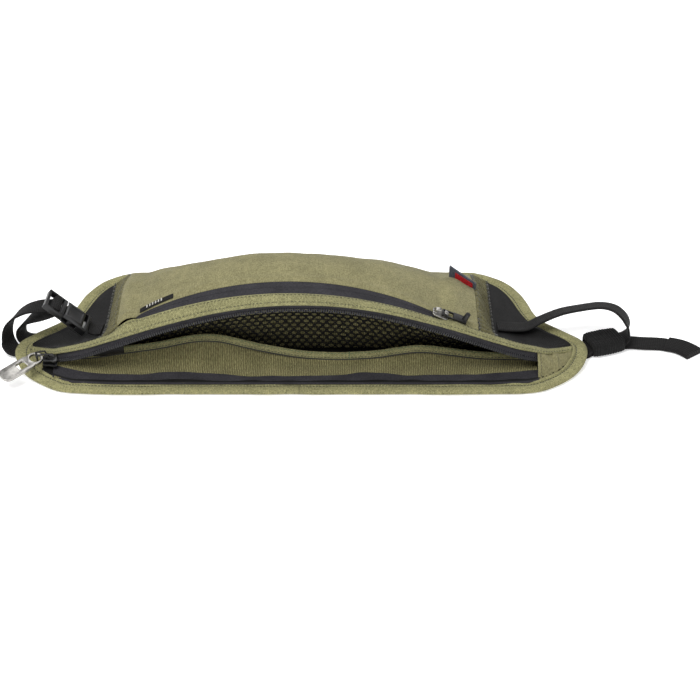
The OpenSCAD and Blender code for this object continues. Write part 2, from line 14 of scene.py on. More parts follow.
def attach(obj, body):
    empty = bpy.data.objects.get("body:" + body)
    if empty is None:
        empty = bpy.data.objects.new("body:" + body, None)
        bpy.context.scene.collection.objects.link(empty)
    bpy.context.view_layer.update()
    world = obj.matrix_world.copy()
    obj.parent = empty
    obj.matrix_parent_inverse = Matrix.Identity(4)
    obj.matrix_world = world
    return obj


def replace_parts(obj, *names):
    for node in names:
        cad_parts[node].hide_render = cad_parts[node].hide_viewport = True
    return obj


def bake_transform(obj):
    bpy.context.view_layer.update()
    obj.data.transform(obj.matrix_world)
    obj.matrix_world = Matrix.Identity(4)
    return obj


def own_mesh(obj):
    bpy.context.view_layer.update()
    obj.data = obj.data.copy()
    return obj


MM = 0.001
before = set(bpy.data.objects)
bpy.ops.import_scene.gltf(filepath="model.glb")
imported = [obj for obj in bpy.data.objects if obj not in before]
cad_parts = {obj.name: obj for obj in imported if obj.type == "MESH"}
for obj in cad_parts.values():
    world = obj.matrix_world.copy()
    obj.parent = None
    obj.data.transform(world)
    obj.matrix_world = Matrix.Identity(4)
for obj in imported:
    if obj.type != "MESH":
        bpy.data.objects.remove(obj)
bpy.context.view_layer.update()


# ---- curves and lookups
def catmull(points, steps, closed=False):
    """Catmull-Rom curve through points, steps samples a span."""
    p = np.asarray(points, float)
    p = np.concatenate([p[-1:], p, p[:2]] if closed else [p[:1], p, p[-1:]])
    t = np.arange(steps)[:, None] / steps
    out = []
    for a, b, c, d in zip(p, p[1:], p[2:], p[3:]):
        out.append(0.5 * (2 * b + (c - a) * t + (2 * a - 5 * b + 4 * c - d) * t**2
                          + (3 * b - a - 3 * c + d) * t**3))
    if not closed:
        out.append(p[-1:])
    return np.concatenate(out)


def arc_length(path):
    return np.concatenate([[0], np.cumsum(np.linalg.norm(np.diff(path, axis=0), axis=1))])


def along_path(path, s, at):
    """Every column of path, interpolated where its distance s reaches at."""
    return np.stack([np.interp(at, s, column) for column in path.T], 1)


def resample(path, spacing, closed=False):
    """The same path with points an even distance apart."""
    p = np.vstack([path, path[:1]]) if closed else path
    s = arc_length(p)
    count = max(2, int(round(s[-1] / spacing)))
    at = np.linspace(0, s[-1], count + 1)
    return along_path(p, s, at[:-1] if closed else at)


def resize(path, count):
    """The same path with count points, evenly apart."""
    s = arc_length(path)
    return along_path(path, s, np.linspace(0, s[-1], count))


def soft_lookup(x, table, blur=4.0):
    """Smoothed value at x of a table of (x, value) pairs."""
    xs, ys = np.array(table, float).T
    offsets = blur * np.linspace(-1, 1, 7)
    return sum(np.interp(np.asarray(x) + o, xs, ys) for o in offsets) / len(offsets)


def smooth(t):
    """A soft step from 0 to 1."""
    u = np.clip(t, 0, 1)
    return u * u * (3 - 2 * u)


def fade(t, start, end):
    """1 across the middle of a sheet, easing to 0 at t = 0 and at t = 1."""
    return smooth(t / start) * smooth((1 - t) / end)


def unit(v):
    return v / np.maximum(np.linalg.norm(v, axis=-1, keepdims=True), 1e-12)


def square_to(along, across):
    """The part of across that stands square to along, at unit length."""
    return unit(across - (across * along).sum(1, keepdims=True) * along)


def directions(path, closed=False):
    """Which way a path runs at each of its points, not yet at unit length."""
    return np.roll(path, -1, 0) - np.roll(path, 1, 0) if closed else np.gradient(path, axis=0)


def loft(a, b, s):
    """Straight rows from the points of a to the points of b."""
    return a[:, None] + (b - a)[:, None] * s[None, :, None]


def wobble(points, scale, seed):
    """Smooth noise from -1 to 1 at points, with features about scale across."""
    shift = Vector((seed * 17.3, seed * 5.1, seed * 9.7))
    values = [noise.noise(Vector(p) / scale + shift) for p in points.reshape(-1, 3)]
    return np.array(values).reshape(points.shape[:-1])


# ---- the pouch's shape
HALF_PLAN = [(0, -60), (60, -60), (100, -60), (124, -58.2), (137, -51.5), (147, -42),
             (153, -31), (155, -21), (153, -13), (147, -6), (139, 1.5), (132, 9), (128, 18),
             (125.5, 28), (122, 38), (117, 47), (110, 54), (101, 59.5), (90, 61.5), (45, 61.5),
             (0, 61.5)]
PLAN = HALF_PLAN + [(-x, y) for x, y in HALF_PLAN[-2:0:-1]]
NEAR_INSIDE = [(0, -52), (100, -52), (121, -50.5), (132, -45), (140, -37.5), (145.5, -28),
               (147, -21)]
FAR_INSIDE = [(0, 53.5), (88, 53.5), (97, 52), (104, 48.5), (110, 42.5), (114.3, 35),
              (117.5, 26), (120, 16.5), (124.5, 5.5), (133, -4), (141, -11), (145, -15.5),
              (147, -21)]
LIP_RUN = [(0, -46), (60, -45.1), (95, -43.6), (116, -41.8), (127, -38), (137, -31.5), (146, -24)]
BELLY = [(-15, 1.02), (0, 0.985), (12, 0.86), (24, 0.695), (38, 0.46), (48, 0.25)]
BACK = 2.8
BINDING_TOP = 5.6
FLOOR = 3.9
LIP_HEIGHT = 45.5
ZIP_MID = np.array([-6.0, -33.0, LIP_HEIGHT + 5.3])
ZIP_RADIUS = 194.0
ZIP_ANGLE = math.radians(24.5)
ZIP_END = ZIP_RADIUS * math.sin(ZIP_ANGLE)
ZIP_LEAN = math.radians(8.5)
ZIP_SLOPE = math.radians(14)
ZIP_ACROSS = np.array([0, math.cos(ZIP_SLOPE), math.sin(ZIP_SLOPE)])
PANEL_LEFT, PANEL_RIGHT, GATHER = -97.0, 94.0, 10.0


def near_y(x):
    return np.interp(abs(x), *np.array(NEAR_INSIDE, float).T)


def far_y(x):
    return soft_lookup(abs(x), FAR_INSIDE, 1.5)


def arch(x):
    """Height of the raised lip as a share of its middle height."""
    return np.maximum(np.cos(np.pi / 2 * np.minimum(1, abs(x) / 132)), 1e-4)


def lip_y(x):
    return soft_lookup(abs(x), LIP_RUN, 6)


def lip_z(x):
    return BACK + 4.7 + (LIP_HEIGHT - 7.5) * arch(x) ** 1.1 - 2.6 * smooth((abs(x) - 128) / 18)


def point(x, y, z):
    """Points at an array of x; y and z may be arrays or one value for all."""
    return np.stack([x, y + 0 * x, z + 0 * x], -1)


def strip_near(x):
    """Near edge of the strip between the zips."""
    a = arch(x)
    z = lip_z(x) + 4 - 0.8 * a - 3.2 * smooth((abs(x) - 120) / 26)
    return point(x, lip_y(x) + 1 - 2.5 * a, z)


def outer_at(x):
    """Centre line of the outer zip, an arc on a leaning plane."""
    u = np.minimum(abs(x - ZIP_MID[0]), ZIP_END)
    drop = ZIP_RADIUS - np.sqrt(ZIP_RADIUS**2 - u * u)
    return point(x, ZIP_MID[1] - drop * math.sin(ZIP_LEAN), ZIP_MID[2] - drop * math.cos(ZIP_LEAN))


def outer_half(x):
    u = np.minimum(1, abs(x - ZIP_MID[0]) / ZIP_END)
    return 0.6 + 3.8 * np.sqrt(np.maximum(0, 1 - u * u))


def outer_blend(x):
    """0 where the outer zip runs, 1 beyond its ends."""
    return smooth((abs(x - ZIP_MID[0]) - ZIP_END) / (0.2 * ZIP_END))


def mix(a, b, t):
    """Points a share t of the way from a to b."""
    return a + (b - a) * np.asarray(t)[..., None]


def strip_far(x):
    a = arch(x)
    inside = outer_at(x) - (outer_half(x) + 0.2)[..., None] * ZIP_ACROSS
    outside = strip_near(x) + point(0 * a, 5 + 3.5 * a, a)
    return mix(inside, outside, outer_blend(x))


def panel_near(x):
    inside = outer_at(x) + (outer_half(x) + 0.2)[..., None] * ZIP_ACROSS
    return mix(inside, strip_far(x) + np.array([0, 0.5, 0]), outer_blend(x))


def belly_rows(xs, count):
    """Grid of the belly: for each x, count points from the outer zip down to the far binding."""
    rows = []
    for x in xs:
        first = panel_near(np.array([x]))[0]
        k = first[2] - FLOOR
        stops = [first] + [[x, max(y, first[1] + 4), FLOOR + k * h + 1] for y, h in BELLY]
        stops.append([x, float(far_y(x)) - 0.3, BINDING_TOP])
        rows.append(resize(resample(catmull(stops, 10), 0.6), count))
    return np.stack(rows)


WING_FALL = 4.5


def wing_z(top, s):
    """Height of the wing a share s of the way down from its top edge."""
    return BINDING_TOP + 0.4 + (top - BINDING_TOP - 0.4) * (1 - s) ** WING_FALL


def on_wing(x, y, lift):
    """A point a little above the flat wing."""
    top = strip_far(np.array([float(x)]))[0]
    s = (y - top[1] - 0.5) / (float(far_y(x)) - 0.8 - top[1])
    return x, y, wing_z(top[2], s) + lift


def wing_rows(xs, count):
    """Grid of a wing: for each x, count points from the strip down to the far binding."""
    s = np.linspace(0, 1, count)
    rows = []
    for x in xs:
        top, end = strip_far(np.array([x]))[0], float(far_y(x)) - 0.3
        y = top[1] + 0.5 + (end - top[1] - 0.5) * s
        rows.append(np.stack([0 * s + x, y, wing_z(top[2], s)], 1))
    return np.stack(rows)


# ---- node materials
def fill(node, **values):
    """Sets a node's sockets; an underscore stands for the space in a socket's name."""
    for key, value in values.items():
        node.inputs[key.replace("_", " ")].default_value = value


class Surface:
    """A node material with one Principled shader and a few ways of wiring it."""

    def __init__(self, name, roughness, **sockets):
        self.material = bpy.data.materials.new(name)
        self.material.use_nodes = True
        self.tree = self.material.node_tree
        self.shader = self.tree.nodes["Principled BSDF"]
        fill(self.shader, Roughness=roughness, **sockets)
        self.normal = None

    def node(self, kind, **settings):
        made = self.tree.nodes.new("ShaderNode" + kind)
        for key, value in settings.items():
            setattr(made, key, value)
        return made

    def link(self, a, b):
        self.tree.links.new(a, b)

    def coords(self, attribute, scale=(1, 1, 1), turn=0.0):
        """Millimetre coordinates: an attribute laid along the cloth, or the object's own."""
        mapping = self.node("Mapping")
        if attribute:
            source = self.node("Attribute", attribute_name=attribute).outputs["Vector"]
        else:
            source = self.node("TexCoord").outputs["Object"]
            scale = [k / MM for k in scale]
        fill(mapping, Scale=scale, Rotation=(0, 0, turn))
        self.link(source, mapping.inputs["Vector"])
        return mapping.outputs["Vector"]

    def noise(self, size, detail, attribute=None, scale=(1, 1, 1), rough=0.5):
        made = self.node("TexNoise")
        fill(made, Scale=1.0 / size, Detail=detail, Roughness=rough)
        self.link(self.coords(attribute, scale), made.inputs["Vector"])
        return made.outputs["Fac"]

    def bands(self, pitch, turn=0.0, distortion=0.0):
        made = self.node("TexWave", wave_type="BANDS", bands_direction="X", wave_profile="SIN")
        fill(made, Scale=math.pi / (10 * pitch), Distortion=distortion, Detail_Scale=2.0)
        self.link(self.coords("cloth", turn=turn), made.inputs["Vector"])
        return made.outputs["Fac"]

    def combine(self, operation, a, b):
        made = self.node("Math", operation=operation)
        self.link(a, made.inputs[0])
        self.link(b, made.inputs[1])
        return made.outputs[0]

    def ramp(self, fac, stops):
        """Greys given as (place, value) at two places along fac."""
        made = self.node("ValToRGB")
        for element, (at, value) in zip(made.color_ramp.elements, stops):
            element.position = at
            element.color = (value, value, value, 1)
        self.link(fac, made.inputs["Fac"])
        return made.outputs["Color"]

    def tint(self, base, fac, low, high, reach=0.2):
        """base multiplied by a grey that runs from low to high as fac passes through the middle."""
        grey = self.ramp(fac, [(0.5 - reach, low), (0.5 + reach, high)])
        made = self.node("Mix", data_type="RGBA", blend_type="MULTIPLY")
        fill(made, Factor=1.0)
        if hasattr(base, "__len__"):
            fill(made, A=(*base, 1))
        else:
            self.link(base, made.inputs["A"])
        self.link(grey, made.inputs["B"])
        return made.outputs["Result"]

    def paint(self, colour, *tints):
        for tint in tints:
            colour = self.tint(colour, *tint)
        self.link(colour, self.shader.inputs["Base Color"])

    def gloss(self, fac, stops):
        self.link(self.ramp(fac, stops), self.shader.inputs["Roughness"])

    def bump(self, height, distance, strength):
        """Relief on top of any bump made before it; distance is in millimetres."""
        made = self.node("Bump")
        fill(made, Strength=strength, Distance=distance * MM)
        self.link(height, made.inputs["Height"])
        if self.normal:
            self.link(self.normal, made.inputs["Normal"])
        self.normal = made.outputs["Normal"]
        self.link(self.normal, self.shader.inputs["Normal"])


def cloth_surface(name, roughness, sheen, sheen_roughness, specular):
    return Surface(name, roughness, Sheen_Weight=sheen, Sheen_Roughness=sheen_roughness,
                   Specular_IOR_Level=specular)


def twill(name, base, pitch=0.62, fleck=(0.66, 1.36)):
    """Melange cloth: diagonal twill ribs, pale and dark flecks and a slow change of shade."""
    s = cloth_surface(name, 0.9, 0.06, 0.45, 0.15)
    rib = s.bands(pitch, turn=math.radians(58), distortion=1.2)
    cross = s.bands(pitch * 0.8, turn=math.radians(-20), distortion=0.8)
    grain = s.noise(0.8, 3, "cloth", (1, 0.62, 1), 0.7)
    blotch = s.noise(3.2, 2, "cloth", (1, 0.7, 1))
    slow = s.noise(17, 2, "cloth")
    s.paint(base, (grain, *fleck), (rib, 0.90, 1.08), (blotch, 0.90, 1.10), (slow, 0.88, 1.10))
    s.bump(s.combine("ADD", rib, cross), 0.10, 0.9)
    s.bump(grain, 0.16, 0.8)
    s.bump(blotch, 0.22, 0.5)
    return s.material


def ribbed(name, base):
    """Lining with soft raised cords that run up the cloth."""
    s = cloth_surface(name, 0.9, 0.05, 0.5, 0.12)
    rib = s.bands(0.95, distortion=2.6)
    grain = s.noise(0.7, 3, "cloth", (1, 0.45, 1), 0.7)
    slow = s.noise(14, 2, "cloth")
    # The cord tint is painted shade in the grooves and painted light on the cords' tops; the grain and
    # slow tints are the cloth's own tone.
    s.paint(base, (rib, 0.55, 1.28, 0.35), (grain, 0.58, 1.42), (slow, 0.84, 1.12))
    s.bump(rib, 0.30, 1.0)
    s.bump(grain, 0.10, 0.7)
    return s.material


def plain_cloth(name, base, roughness, pitch=0.5, specular=0.14):
    """Smooth close-woven nylon or coated tape."""
    s = cloth_surface(name, roughness, 0.0, 0.4, specular)
    over = s.bands(pitch)
    under = s.bands(pitch, turn=math.pi / 2)
    grain = s.noise(1.0, 3, "cloth", rough=0.7)
    slow = s.noise(12, 2, "cloth")
    s.paint(base, (grain, 0.62, 1.40), (slow, 0.78, 1.2))
    s.bump(s.combine("MULTIPLY", over, under), 0.05, 0.8)
    s.bump(grain, 0.10, 0.6)
    return s.material


def webbing(name, base):
    """Narrow webbing: cross ribs and fine fibres."""
    s = cloth_surface(name, 0.7, 0.02, 0.4, 0.14)
    rib = s.bands(1.0)
    warp = s.bands(1.5, turn=math.pi / 2)
    grain = s.noise(0.7, 3, "cloth", (0.35, 1, 1), 0.7)
    s.paint(base, (grain, 0.55, 1.5), (rib, 0.78, 1.18, 0.3))
    s.bump(s.combine("MULTIPLY", rib, warp), 0.2, 0.9)
    s.bump(grain, 0.08, 0.6)
    return s.material


def moulded(name, base, roughness=0.35):
    """Moulded plastic with a fine grain."""
    s = Surface(name, roughness, Specular_IOR_Level=0.5)
    grain = s.noise(0.35, 3)
    slow = s.noise(5, 2)
    s.paint(base, (slow, 0.85, 1.2))
    s.bump(grain, 0.012, 0.5)
    s.gloss(slow, [(0.3, roughness - 0.06), (0.7, roughness + 0.1)])
    return s.material


def metal(name, base, roughness, metallic=1.0):
    """Cast and scuffed metal, plated or lacquered; its mottled tone is partly its own and partly
    painted shade, the grey of its reflections.
    """
    s = Surface(name, roughness, Metallic=metallic)
    cast = s.noise(2.2, 3)
    scuff = s.noise(0.5, 4, None, (0.2, 1, 1))
    # The cast mottle is partly painted shade, standing in for the grey in the metal's reflections.
    s.paint(base, (cast, 0.62, 1.12))
    s.bump(cast, 0.03, 0.6)
    s.gloss(scuff, [(0.35, roughness), (0.75, roughness + 0.16)])
    return s.material


def thread(name, base):
    s = Surface(name, 0.7, Sheen_Weight=0.3)
    s.paint(base, (s.noise(0.3, 2), 0.8, 1.2))
    return s.material


OLIVE = (0.2165, 0.200, 0.102)
mat_olive = twill("olive_twill", OLIVE)
mat_binding = twill("olive_binding", (0.235, 0.224, 0.109), pitch=0.9, fleck=(0.50, 1.50))
mat_ribbed = ribbed("olive_ribbed", (0.188, 0.172, 0.080))
# The lining's ribbed olive is brighter than the pocket wall's: painted light, so that it shows lit
# through the net's holes.
mat_lining_lit = ribbed("olive_lining_lit", (0.290, 0.265, 0.128))
mat_black = plain_cloth("black_nylon", (0.0088, 0.0085, 0.0085), 0.55)
mat_tape = plain_cloth("zip_tape", (0.0275, 0.0265, 0.0300), 0.75, pitch=0.6, specular=0.15)
mat_coil = moulded("zip_coil", (0.020, 0.020, 0.023), 0.30)
mat_mesh = plain_cloth("black_mesh", (0.006, 0.006, 0.006), 0.7, specular=0.12)
mat_web = webbing("black_webbing", (0.0094, 0.0090, 0.0090))
mat_elastic = webbing("black_elastic", (0.0085, 0.0085, 0.0085))
mat_plastic = moulded("buckle_plastic", (0.008, 0.008, 0.0085))
mat_silver = metal("nickel", (0.40, 0.388, 0.366), 0.30)
mat_black_metal = metal("black_lacquer", (0.012, 0.012, 0.013), 0.28, 0.2)
mat_thread = thread("olive_thread", (0.034, 0.036, 0.014))
mat_strip = twill("olive_strip", (0.212, 0.203, 0.099), pitch=0.9, fleck=(0.46, 1.54))
# The gathered strip's cloth is a darker copy of the olive twill: painted shade for its crevices.
mat_gather_shaded = twill("olive_gather_shaded", (0.130, 0.120, 0.060), fleck=(0.50, 1.50))
# This dark thread is painted shade, laid in seams and under edges where shadow falls.
mat_seam_shadow = thread("seam_shadow", (0.014, 0.014, 0.007))
mat_thread_green = thread("green_thread", (0.060, 0.110, 0.038))
mat_thread_pale = thread("pale_thread", (0.45, 0.44, 0.40))
mat_tag_grey = plain_cloth("tag_grey", (0.085, 0.092, 0.115), 0.7)
mat_tag_red = plain_cloth("tag_red", (0.42, 0.018, 0.022), 0.7)


# ---- mesh building
def add_object(name, data):
    obj = bpy.data.objects.new(name, data)
    bpy.context.scene.collection.objects.link(obj)
    return obj


def turn_faces_out(mesh):
    bm = bmesh.new()
    bm.from_mesh(mesh)
    bmesh.ops.recalc_face_normals(bm, faces=bm.faces)
    bm.to_mesh(mesh)
    bm.free()


def make_object(name, verts, faces, material, node=None, body="pouch", cloth=None):
    """A piece from points in millimetres, riding on a body and standing for a CAD node."""
    mesh = bpy.data.meshes.new(name)
    mesh.from_pydata((verts * MM).tolist(), [], faces)
    mesh.validate()
    if cloth is not None:
        layer = mesh.attributes.new("cloth", "FLOAT_VECTOR", "POINT")
        flat = np.zeros((len(mesh.vertices), 3), np.float32)
        flat[:, :cloth.shape[1]] = cloth
        layer.data.foreach_set("vector", flat.ravel())
    mesh.materials.append(material)
    mesh.shade_smooth()
    mesh.set_sharp_from_angle(angle=math.radians(50))
    turn_faces_out(mesh)
    obj = add_object(name, mesh)
    if body:
        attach(obj, body)
    if node:
        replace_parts(obj, node)
    return obj


def grid_faces(rows, cols, start=0, wrap_rows=False, wrap_cols=False):
    i, j = np.meshgrid(np.arange(rows - (not wrap_rows)), np.arange(cols - (not wrap_cols)),
                       indexing="ij")
    a = i * cols + j
    b = (i + 1) % rows * cols + j
    c = (i + 1) % rows * cols + (j + 1) % cols
    d = i * cols + (j + 1) % cols
    return (np.stack([a, b, c, d], -1).reshape(-1, 4) + start).tolist()


def grid_normals(grid):
    du = np.gradient(grid, axis=0)
    dv = np.gradient(grid, axis=1)
    return unit(np.cross(du, dv))


def grid_cloth(grid):
    """Distances along both directions of the grid, as laid cloth."""
    u = np.cumsum(np.linalg.norm(np.diff(grid, axis=0, prepend=grid[:1]), axis=2), axis=0)
    v = np.cumsum(np.linalg.norm(np.diff(grid, axis=1, prepend=grid[:, :1]), axis=2), axis=1)
    return np.stack([u.mean(1, keepdims=True) + 0 * u, v.mean(0, keepdims=True) + 0 * v], -1)


def sheet(name, grid, material, thick, node=None):
    """Closed cloth panel under a grid of points, its rim rounded over."""
    rows, cols = grid.shape[:2]
    count = rows * cols
    normals = grid_normals(grid)
    flat = grid.reshape(-1, 3)
    low = (grid - thick * normals).reshape(-1, 3)
    laid = grid_cloth(grid).reshape(-1, 2)
    index = np.arange(count).reshape(rows, cols)
    rim = np.concatenate([index[0], index[1:, -1], index[-1, -2::-1], index[-2:0:-1, 0]])
    around = np.roll(flat[rim], 1, axis=0) - np.roll(flat[rim], -1, axis=0)
    outward = unit(np.cross(around, normals.reshape(-1, 3)[rim]))
    middle = (flat[rim] + low[rim]) / 2 + outward * thick * 0.4
    faces = grid_faces(rows, cols)
    faces += [f[::-1] for f in grid_faces(rows, cols, count)]
    for k, a in enumerate(rim.tolist()):
        following = (k + 1) % len(rim)
        b = int(rim[following])
        m0, m1 = 2 * count + k, 2 * count + following
        faces += [[b, a, m0, m1], [m1, m0, a + count, b + count]]
    return make_object(name, np.concatenate([flat, low, middle]), faces, material, node,
                       cloth=np.concatenate([laid, laid, laid[rim]]))


def sweep(name, path, across, section, material, node=None, body="pouch", closed=False,
          up=None):
    """A closed section carried along a path; across is the section's first axis at each point."""
    along = unit(directions(path, closed))
    wide = square_to(along, across)
    tall = np.cross(along, wide) if up is None else up
    if section.ndim == 2:
        section = np.broadcast_to(section, (len(path), *section.shape))
    verts = (path[:, None] + section[..., :1] * wide[:, None] + section[..., 1:] * tall[:, None])
    rows, cols = verts.shape[:2]
    faces = grid_faces(rows, cols, wrap_rows=closed, wrap_cols=True)
    if not closed:
        faces += [list(range(cols)), list(range((rows - 1) * cols, rows * cols))]
    s = arc_length(np.vstack([path, path[:1]]))[:rows, None]
    ring = section[..., 0]
    cloth = np.stack([s + 0 * ring, ring + 0.4 * section[..., 1]], -1).reshape(-1, 2)
    return make_object(name, verts.reshape(-1, 3), faces, material, node, body, cloth)


def rounded_section(width, thick, corner=None, steps=4):
    """Rounded rectangle centred on the path; its corners are as round as they can be by default."""
    r = min(corner or thick / 2, thick / 2 - 1e-3, width / 2 - 1e-3)
    out = []
    for quarter, (cx, cy) in enumerate(((1, 1), (-1, 1), (-1, -1), (1, -1))):
        for k in range(steps + 1):
            a = math.pi / 2 * (quarter + k / steps)
            out.append((cx * (width / 2 - r) + r * math.cos(a), cy * (thick / 2 - r) + r * math.sin(a)))
    return np.array(out)


def flat_ribbon_section(width, thick):
    """Webbing: flat faces with a few points across, so that it can carry ribs."""
    r = thick / 2
    top = [(x, r) for x in np.linspace(width / 2 - r, -width / 2 + r, 7)]
    left = [(-width / 2 + r - r * math.sin(a), r * math.cos(a)) for a in (0.8, 1.57, 2.34)]
    half = np.array(top + left)
    return np.concatenate([half, -half])


def beads(name, verts, ring, material, node=None):
    """One mesh of many small closed tubes; verts lists a tube's points, ring after ring."""
    verts = np.stack(verts, 1)
    per = verts.shape[1]
    tube = grid_faces(per // ring, ring, wrap_cols=True)
    tube += [list(range(ring)), list(range(per - ring, per))]
    faces = [[v + i * per for v in f] for i in range(len(verts)) for f in tube]
    return make_object(name, verts.reshape(-1, 3), faces, material, node)


def dashes(name, centres, along, out, length, width, material):
    """One mesh of short rounded stitches lying on a surface."""
    along, out = unit(along), unit(out)
    side = np.cross(out, along)
    rings = [(-0.5, 0.15), (-0.36, 0.8), (0.0, 1.0), (0.36, 0.8), (0.5, 0.15)]
    verts, count = [], 6
    for t, r in rings:
        for k in range(count):
            a = 2 * math.pi * k / count
            verts.append(centres + along * length * t + side * (width / 2 * r * math.cos(a))
                         + out * (width / 2 * r * math.sin(a) + 0.12 * width * (1 - 3 * t * t)))
    return beads(name, verts, count, material)


def stitch_row(name, path, out, spacing, length, width, material=mat_thread, closed=False):
    """Stitches evenly along a path; out is the surface normal, one or one a point."""
    both = resample(np.hstack([path, np.broadcast_to(out, path.shape)]), spacing, closed)
    points, normals = both[:, :3], both[:, 3:]
    return dashes(name, points, directions(points, closed), normals, length, width, material)


def refined(name, node, body, material, slot, width, segments):
    """A bevelled copy of a hard CAD node that stands for it."""
    bm = bmesh.new()
    bm.from_mesh(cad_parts[node].data)
    bmesh.ops.remove_doubles(bm, verts=bm.verts, dist=1e-6)
    bmesh.ops.dissolve_limit(bm, angle_limit=math.radians(2), verts=bm.verts, edges=bm.edges)
    mesh = bpy.data.meshes.new(name)
    bm.to_mesh(mesh)
    bm.free()
    mesh.materials.append(material)
    obj = add_object(name, mesh)
    bevel = obj.modifiers.new("edge", "BEVEL")
    bevel.width = width * MM
    bevel.segments = segments
    bevel.limit_method = "ANGLE"
    bevel.angle_limit = math.radians(32)
    bpy.context.view_layer.update()
    evaluated = obj.evaluated_get(bpy.context.evaluated_depsgraph_get())
    baked = bpy.data.meshes.new_from_object(evaluated)
    obj.modifiers.clear()
    obj.data = baked
    obj.data.shade_smooth()
    obj.data.set_sharp_from_angle(angle=math.radians(40))
    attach(obj, body)
    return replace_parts(obj, node)


# ---- camera and light
VIEW_RISE = math.radians(33)
VIEW_DISTANCE = 1100.0
VIEW_AIM = Vector((26.2, -44.3, 5.0))
VIEW_WIDTH = 372.34  # what the picture takes in from side to side at the aim point
VIEW_SHIFT = 0.03143  # share of the picture's width
SENSOR_WIDTH = 36.0


def build_camera():
    back = Vector((0, -math.cos(VIEW_RISE), math.sin(VIEW_RISE)))
    camera = add_object("camera", bpy.data.cameras.new("camera"))
    camera.location = (VIEW_AIM + back * VIEW_DISTANCE) * MM
    camera.rotation_euler = (-back).to_track_quat("-Z", "Y").to_euler()
    lens = camera.data
    lens.sensor_width = SENSOR_WIDTH
    lens.lens = SENSOR_WIDTH * VIEW_DISTANCE / VIEW_WIDTH
    lens.shift_y = VIEW_SHIFT
    lens.clip_start, lens.clip_end = 0.05, 20
    bpy.context.scene.camera = camera


def area_light(name, location, size, power):
    """A square lamp, in metres and watts, that faces the origin."""
    lamp = add_object(name, bpy.data.lights.new(name, "AREA"))
    lamp.data.energy, lamp.data.size = power, size
    lamp.location = location
    lamp.rotation_euler = (-Vector(location)).to_track_quat("-Z", "Y").to_euler()


def build_studio():
    world = bpy.data.worlds.new("studio")
    bpy.context.scene.world = world
    world.use_nodes = True
    fill(world.node_tree.nodes["Background"], Color=(1, 1, 1, 1), Strength=0.38)
    area_light("key", (-0.45, -0.5, 1.2), 0.7, 17)
    area_light("fill", (0.9, -0.9, 0.8), 1.0, 5)
    area_light("back", (0.1, 0.9, 1.2), 0.9, 7)
    half = 6.0
    mesh = bpy.data.meshes.new("floor")
    mesh.from_pydata([(-half, -half, 0), (half, -half, 0), (half, half, 0), (-half, half, 0)],
                     [], [(0, 1, 2, 3)])
    white = Surface("floor_white", 0.9, Base_Color=(0.86, 0.86, 0.86, 1), Specular_IOR_Level=0.1,
                    Emission_Color=(1, 1, 1, 1), Emission_Strength=0.45)
    mesh.materials.append(white.material)
    add_object("floor", mesh)
    bpy.context.scene.view_settings.view_transform = "Standard"


build_camera()
build_studio()


# ---- waist webbing
BUCKLE_AT = np.array([-117.0, -11.0, 12.6])
BUCKLE_TURN = (-2.0, -40.0, 176.0)
BUCKLE_LENGTH = 27.0
LADDER_X = 0.545 * BUCKLE_LENGTH + 0.3
WEB_WIDTH, WEB_THICK = 12.5, 1.2
LOW_RUN = WEB_THICK / 2
HIGH_RUN = LOW_RUN + WEB_THICK + 0.12
LOW = (LOW_RUN, 0, -1, 0)
HIGH = (HIGH_RUN, 0, -1, 0)


def buckle_vector(p):
    """A direction in the buckle's own axes, turned into the frame's."""
    turn = [math.radians(t) for t in BUCKLE_TURN]
    m = (Matrix.Rotation(turn[2], 3, "Z") @ Matrix.Rotation(turn[1], 3, "Y")
         @ Matrix.Rotation(turn[0], 3, "X"))
    return np.array(m @ Vector(p))


def ladder(x, z):
    """A stop of webbing at the buckle's ladder bars, x and z in the buckle's own axes."""
    return (*(BUCKLE_AT + buckle_vector((LADDER_X + x, 0, z))), *buckle_vector((0, 1, 0)))


KEEPER_MIDDLE = np.array([164.4, -13.4])
KEEPER_TURN = math.radians(21)
KEEPER_LENGTH = 19.0


def in_keeper(along, z):
    """A stop of webbing inside the keeper."""
    x, y = KEEPER_MIDDLE + along * np.array([math.cos(KEEPER_TURN), math.sin(KEEPER_TURN)])
    return x, y, z, math.sin(KEEPER_TURN), -math.cos(KEEPER_TURN), 0


# A stop of webbing is x, y, z and then the direction across the webbing there.
RIGHT_STOPS = [
    (*on_wing(106.6, -5, 1.6), 0, -1, 0.2), (*on_wing(111, -5, 1.6), 0, -1, 0.18),
    (*on_wing(116, -4.6, 1.8), 0, -1, 0.18), (123, -3.4, 8.2, 0.03, -1, 0.22),
    (130.3, -1.5, 11.2, 0.05, -1, 0.26), (141.2, 0.6, 15, 0.05, -1, 0.28),
    (152.1, 1.6, 17, 0.03, -1, 0.3), (162.9, 1.2, 18.8, -0.05, -1, 0.28),
    (170.4, -1, 18.4, -0.18, -1, 0.24), (175.2, -3.8, 15.6, -0.24, -1, 0.2),
    (177.5, -6.3, 12, -0.2, -1, 0.15), (177.8, -8.3, 8.4, -0.05, -1, 0.1),
    (176.6, -9.2, 5.2, 0.15, -1, 0.05), in_keeper(9.2, 3.5), in_keeper(4, 3.4),
    in_keeper(-4, 3.4), in_keeper(-9.2, 3.05), (153.9, -17.5, 1.88, 0.2, -1, 0),
    (151, -18.3, HIGH_RUN, 0.1, -1, 0), (144, -18.7, *HIGH), (130, -18, *HIGH), (100, -16.5, *HIGH),
    (0, -15, *HIGH), (-100, -16.3, *HIGH), (-132, -17, *HIGH)]
